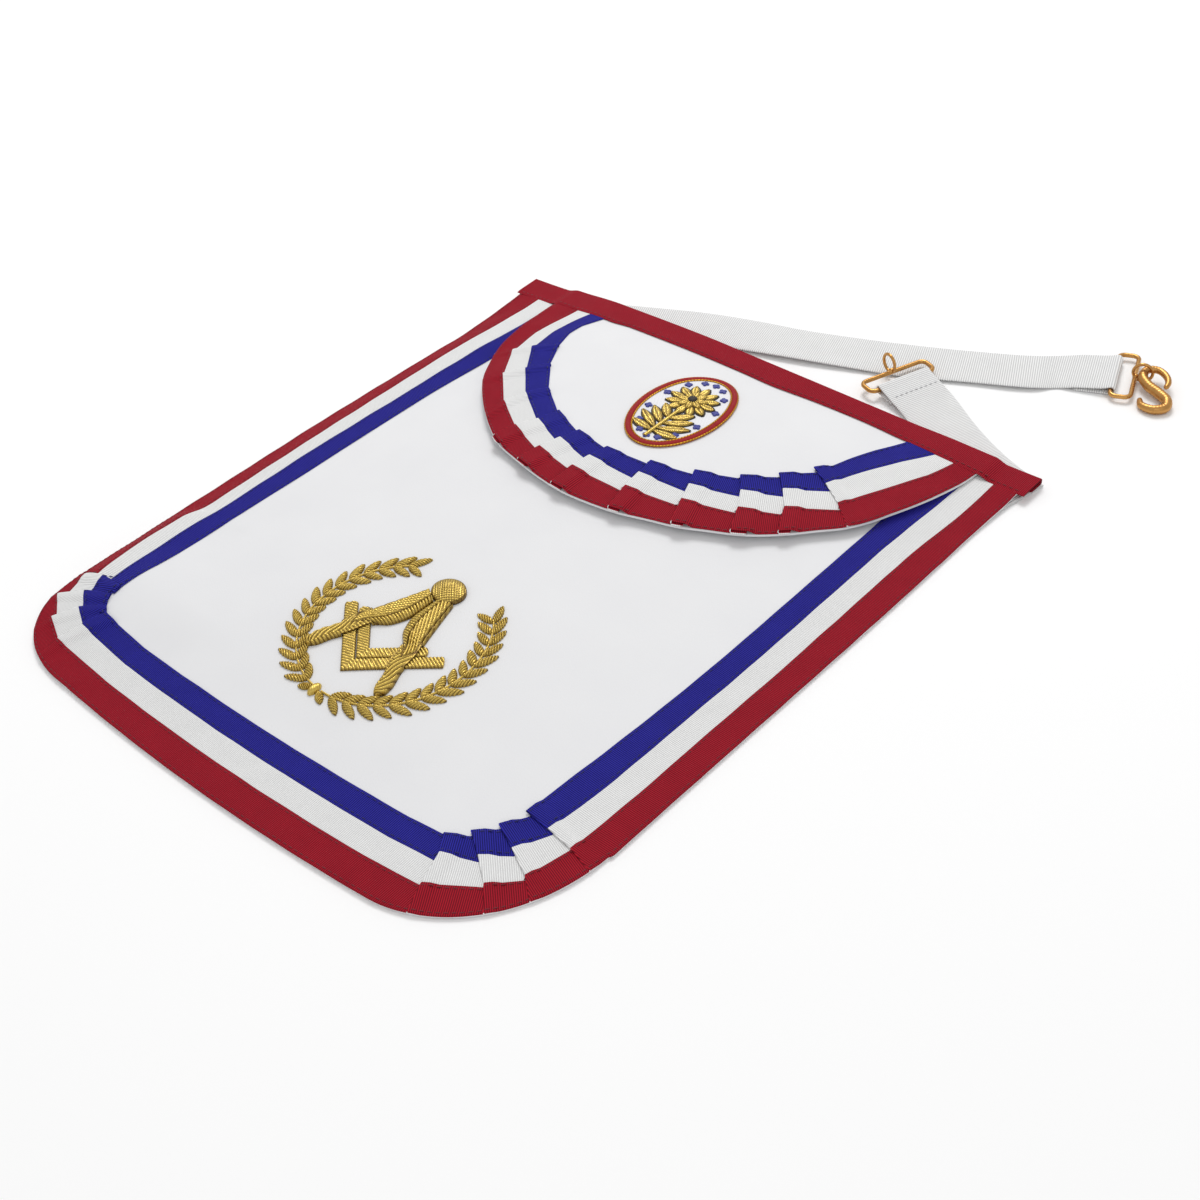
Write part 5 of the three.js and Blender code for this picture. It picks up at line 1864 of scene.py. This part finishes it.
@dataclass
class Badge:
    """Oval badge on the flap: satin border between gilt edgings, with a rosette, two sprigs
    and a ring of small blue florets on white cloth."""

    flap: FlapForm
    bench: Bench
    x: float = 2.0
    y: float = -79.7
    a: float = 24.9
    b: float = 37.6
    grow: float = 1.16
    rim: float = 3.7
    florets: int = 14
    floret_ring: tuple[float, float] = (17.4, 29.8)
    heart: float = 8.0

    def lay(
        self, name: str, shape: Shape, look: Look, slot: str, lift: float = 0.15, **settings: Any
    ) -> bpy.types.Object:
        """Lays a shape on the flap, lifted a little, and makes it a piece."""
        laid = shape.moved(self.x, self.y).draped(self.flap.top, lift)
        return self.bench.piece(name, laid, [look], slot, **settings)

    def oval(self, inset: float, count: int) -> Array:
        """Points round the badge's oval, drawn in by an inset."""
        return rays(full_turn(count)) * (np.array([self.a, self.b]) - inset)

    def border(self) -> Shape:
        """Ring of satin stitch: across it a rounded section, round it even threads."""
        w = np.linspace(0, 1, 13)
        count = 260
        plan = np.stack([self.oval(self.rim * share, count) for share in w], axis=1)
        arch = np.sqrt(np.clip(1 - (2 * w - 1) ** 2, 0, 1))
        upper, lower = raised(plan, 0.7 + 1.1 * arch), raised(plan, 0)
        along = arc_length(self.oval(self.rim / 2, count))
        return slab(upper, lower, pairs(along, w * self.rim), loop=True)

    def edging(self, inset: float, radius: float, z: float) -> Shape:
        """Twisted gilt cord round the oval: a bar whose radius beats along its length."""
        count, beats = 420, 105
        path = raised(self.oval(inset, count), z)
        beat = 1 + 0.14 * np.sin(full_turn(count) * beats)
        return tube(path, radius * beat, 8, closed=True)

    def petal(self, length: float, wide: float, tall: float) -> Shape:
        """One petal along x: a pointed mound with fine threads slanting off a mid groove.

        Args:
            length: Length from foot to tip.
            wide: Greatest width.
            tall: Height over its rim.

        Returns:
            The closed mesh.
        """
        s = np.linspace(0, 1, 19)[:, None]
        w = np.linspace(-1, 1, 9)[None, :]
        width = np.maximum(wide / 2 * np.sin(np.pi * np.clip(s, 0.04, 0.97) ** 1.1) ** 0.6, 0.15)
        x, y = s * length + 0 * w, width * w
        cord = np.abs(np.cos(np.pi * (x - 0.9 * np.abs(y)) / 0.9))
        height = 0.2 + tall * np.sqrt(np.clip(1 - 0.9 * w**2, 0, 1)) * (0.75 + 0.25 * cord)
        groove = np.exp(-((w / 0.16) ** 2))
        height = np.maximum(height - 0.35 * tall * groove, 0.15)
        # Painted shade: low between the threads, in the mid groove and at the sides.
        proud = cord * (1 - 0.7 * groove) * (1 - 0.5 * w**4)
        return relief(np.stack([x, y], axis=-1), height, proud=proud)

    def motif(self) -> tuple[Shape, Shape]:
        """Rosette of two rings of petals over two sprigs, in gilt, and its dark outlines."""
        centre = np.array([0.0, self.heart])
        gold, dark = [], []
        rings = ((12, 4.2, 8.2, 4.0, 0.0, 0.9), (8, 1.0, 6.4, 3.6, 0.3, 1.3))
        for count, start, length, wide, lag, tall in rings:
            turns = full_turn(count) + lag
            spokes = rays(turns)
            spots = raised(centre + spokes * start, 0.25 + lag * 1.6)
            gold.append(repeated(self.petal(length, wide, tall), spots, turns))
            back = spots - raised(spokes * 0.5, 0.2)
            dark.append(repeated(self.petal(length + 1.3, wide + 1.3, tall * 0.35), back, turns))
        leaves = [
            (-19.0, 30.0, 15.0), (-14.5, 38.0, 13.5), (-9.5, 46.0, 11.0), (-21.5, 8.0, 12.0),
        ]
        for y, turn, length in leaves:
            for side in (1, -1):
                angle = math.radians(turn if side > 0 else 180 - turn)
                spot = np.array([[side * 0.8, y, 0.25]])
                gold.append(repeated(self.petal(length, 4.4, 1.0), spot, np.array([angle])))
                low = spot - np.array([[side * 0.6, 0.3, 0.2]])
                dark.append(repeated(self.petal(length + 1.4, 5.6, 0.35), low, np.array([angle])))
        stem_y = np.linspace(-27, -1, 40)
        stem = np.column_stack([0 * stem_y, stem_y, np.full(40, 0.8)])
        gold.append(tube(stem, 0.9, 10))
        eye = centre + 2.3 * rays(full_turn(20))
        dark.append(dome(eye, np.array([1, 0.8, 0.4]), np.array([2.2, 2.8, 3.0])))
        size = np.array([self.grow, self.grow, 1.0])
        upper, lower = (joined(shapes) for shapes in (gold, dark))
        upper.points, lower.points = upper.points * size, lower.points * size
        return upper, lower

    def floret(self) -> Shape:
        """Small satin floret with four round petals."""
        t = full_turn(32)
        r = 1.35 + 0.95 * np.abs(np.cos(2 * t)) ** 0.6
        outline = r[:, None] * rays(t)
        return dome(outline, np.array([1.0, 0.8, 0.45]), np.array([0.45, 0.7, 0.65]))

    def build(self) -> None:
        """Makes the badge's cloth, border, edgings, motif and florets."""
        cloth = dome(self.oval(self.rim - 0.6, 120), np.linspace(1, 0.1, 12), np.full(12, 0.9))
        field_piece = self.lay(
            "badge_cloth", cloth, Look.TWILL, "badge_cloth", replaces=["badge_field"]
        )
        satin = {"replaces": ["badge_border"], "crease": 60}
        border = self.lay(
            "badge_satin_border", self.border(), Look.SATIN_RED, "badge_satin", **satin
        )
        cords = joined([self.edging(0.2, 0.5, 0.8), self.edging(self.rim + 0.1, 0.5, 1.15)])
        edgings = self.lay("badge_gilt_edgings", cords, Look.CORD, "bullion")
        gold, dark = self.motif()
        purl = {"replaces": ["badge_motif"], "crease": 70}
        motif = self.lay("badge_rosette", gold, Look.PURL, "bullion", 1.05, **purl)
        outline = self.lay("badge_outlines", dark, Look.OUTLINE, "badge_satin", 1.0)
        t = full_turn(self.florets) + math.pi / 2
        t = t + 0.11 * np.sin(2 * t)
        spots = raised(rays(t) * self.floret_ring, 0.95)
        ring = repeated(self.floret(), spots, t)
        florets = self.lay("badge_florets", ring, Look.SATIN_BLUE, "badge_satin")


@dataclass(frozen=True)
class Studio:
    """Camera at the photograph's angle, plain pale floor and soft light."""

    focal_px: float = 1785.7
    azimuth: float = 44.865
    elevation: float = 40.155
    roll: float = -5.356
    target: tuple[float, float, float] = (57.86, -211.92, 0.0)
    distance: float = 873.95
    sensor: float = 36.0
    floor_reach: float = 6.0
    floor_drop: float = 0.0002
    sky: float = 0.66

    def camera(self, bench: Bench) -> None:
        """Camera looking at the target from its azimuth and elevation, rolled about its axis."""
        az, el, roll = (math.radians(v) for v in (self.azimuth, self.elevation, self.roll))
        back = Vector((math.sin(az) * math.cos(el), -math.cos(az) * math.cos(el), math.sin(el)))
        right = Vector((math.cos(az), math.sin(az), 0))
        up = back.cross(right)
        x = math.cos(roll) * right + math.sin(roll) * up
        y = -math.sin(roll) * right + math.cos(roll) * up
        place = (Vector(self.target) + Vector(bench.shift)) * MM + back * self.distance * MM
        data = bpy.data.cameras.new("camera")
        data.sensor_width = self.sensor
        data.lens = self.focal_px / FRAME_PX * self.sensor
        data.clip_start, data.clip_end = 0.01, 50
        made = bpy.data.objects.new("camera", data)
        turn = Matrix((x, y, back)).transposed().to_4x4()
        made.matrix_world = Matrix.Translation(place) @ turn
        bpy.context.scene.collection.objects.link(made)
        bpy.context.scene.camera = made

    def lamp(self, name: str, place: Sequence[float], size: float, power: float) -> None:
        """Square area lamp at a place in metres, facing the middle of the apron."""
        data = bpy.data.lights.new(name, "AREA")
        data.size = size
        data.energy = power
        made = bpy.data.objects.new(name, data)
        made.location = place
        aim = Vector((0, -0.05, 0)) - Vector(place)
        made.rotation_euler = aim.to_track_quat("-Z", "Y").to_euler()
        bpy.context.scene.collection.objects.link(made)

    def floor(self, bench: Bench) -> None:
        """Large plane just under the apron, its sizes in metres."""
        mesh = bpy.data.meshes.new("floor")
        ways = ((-1, -1), (1, -1), (1, 1), (-1, 1))
        corners = [(x * self.floor_reach, y * self.floor_reach, -self.floor_drop) for x, y in ways]
        mesh.from_pydata(corners, [], [(0, 1, 2, 3)])
        mesh.materials.append(bench.material(Look.TABLE))
        made = bpy.data.objects.new("floor", mesh)
        bpy.context.scene.collection.objects.link(made)

    def build(self, bench: Bench) -> None:
        """Makes the camera, the floor, the lamps and the pale surroundings."""
        self.camera(bench)
        self.floor(bench)
        self.lamp("key", (-0.7, 1.1, 1.9), size=0.9, power=24)
        self.lamp("fill", (1.5, -1.2, 1.7), size=1.8, power=5)
        world = bpy.data.worlds.new("pale_room")
        world.use_nodes = True
        shader = next(n for n in world.node_tree.nodes if n.type == "BACKGROUND")
        shader.inputs["Color"].default_value = (1, 1, 1, 1)
        shader.inputs["Strength"].default_value = self.sky
        bpy.context.scene.world = world
        bpy.context.scene.view_settings.view_transform = "Standard"


def frame_shift() -> Array:
    """Shift from the part's frame to the scene's in millimetres, read off the waist binding,
    whose left end and upper edge have their places in the part's frame."""
    left, upper = -173.5, -8.2
    low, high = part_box("top_binding")
    return np.array([low.x / MM - left, high.y / MM - upper, 0.0])


def main() -> None:
    """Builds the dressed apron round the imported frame."""
    logging.basicConfig(level=logging.INFO, format="%(name)s: %(message)s")
    for old in list(bpy.data.objects):
        bpy.data.objects.remove(old)
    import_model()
    bench = Bench(frame_shift())
    Studio().build(bench)
    body = BodyForm()
    flap = FlapForm(body)
    layer = 0.62  # From one layer of folded ribbon to the next.
    Panels(body, flap, bench).build()
    Trim("body", body.top, body_line(body, layer), bench, lip=0.4).build()
    Trim("flap", flap.top, flap_line(flap, layer), bench).build()
    Binding(body, flap, bench).build()
    Emblem(body, bench).build()
    Badge(flap, bench).build()
    long_end = StrapEnd(
        162.3, 99.9, heading=21.5, hem=20.0, lift=0.0, eye_out=3.9, eye_up=3.4, sewn=False
    )
    short_end = StrapEnd(
        73.8, 26.0, heading=159.0, hem=13.0, lift=2.0, eye_out=3.0, eye_up=4.2, sewn=True
    )
    Strap("waist_strap_long", LONG_STRAP, long_end, bench, "strap_long", "hook_slide").build()
    Strap("waist_strap_short", SHORT_STRAP, short_end, bench, "strap_short", "eye_slide").build()
    CastHook(long_end, bench).build()
    log.info("all: %d triangles", bench.triangles)


if __name__ == "__main__":
    main()
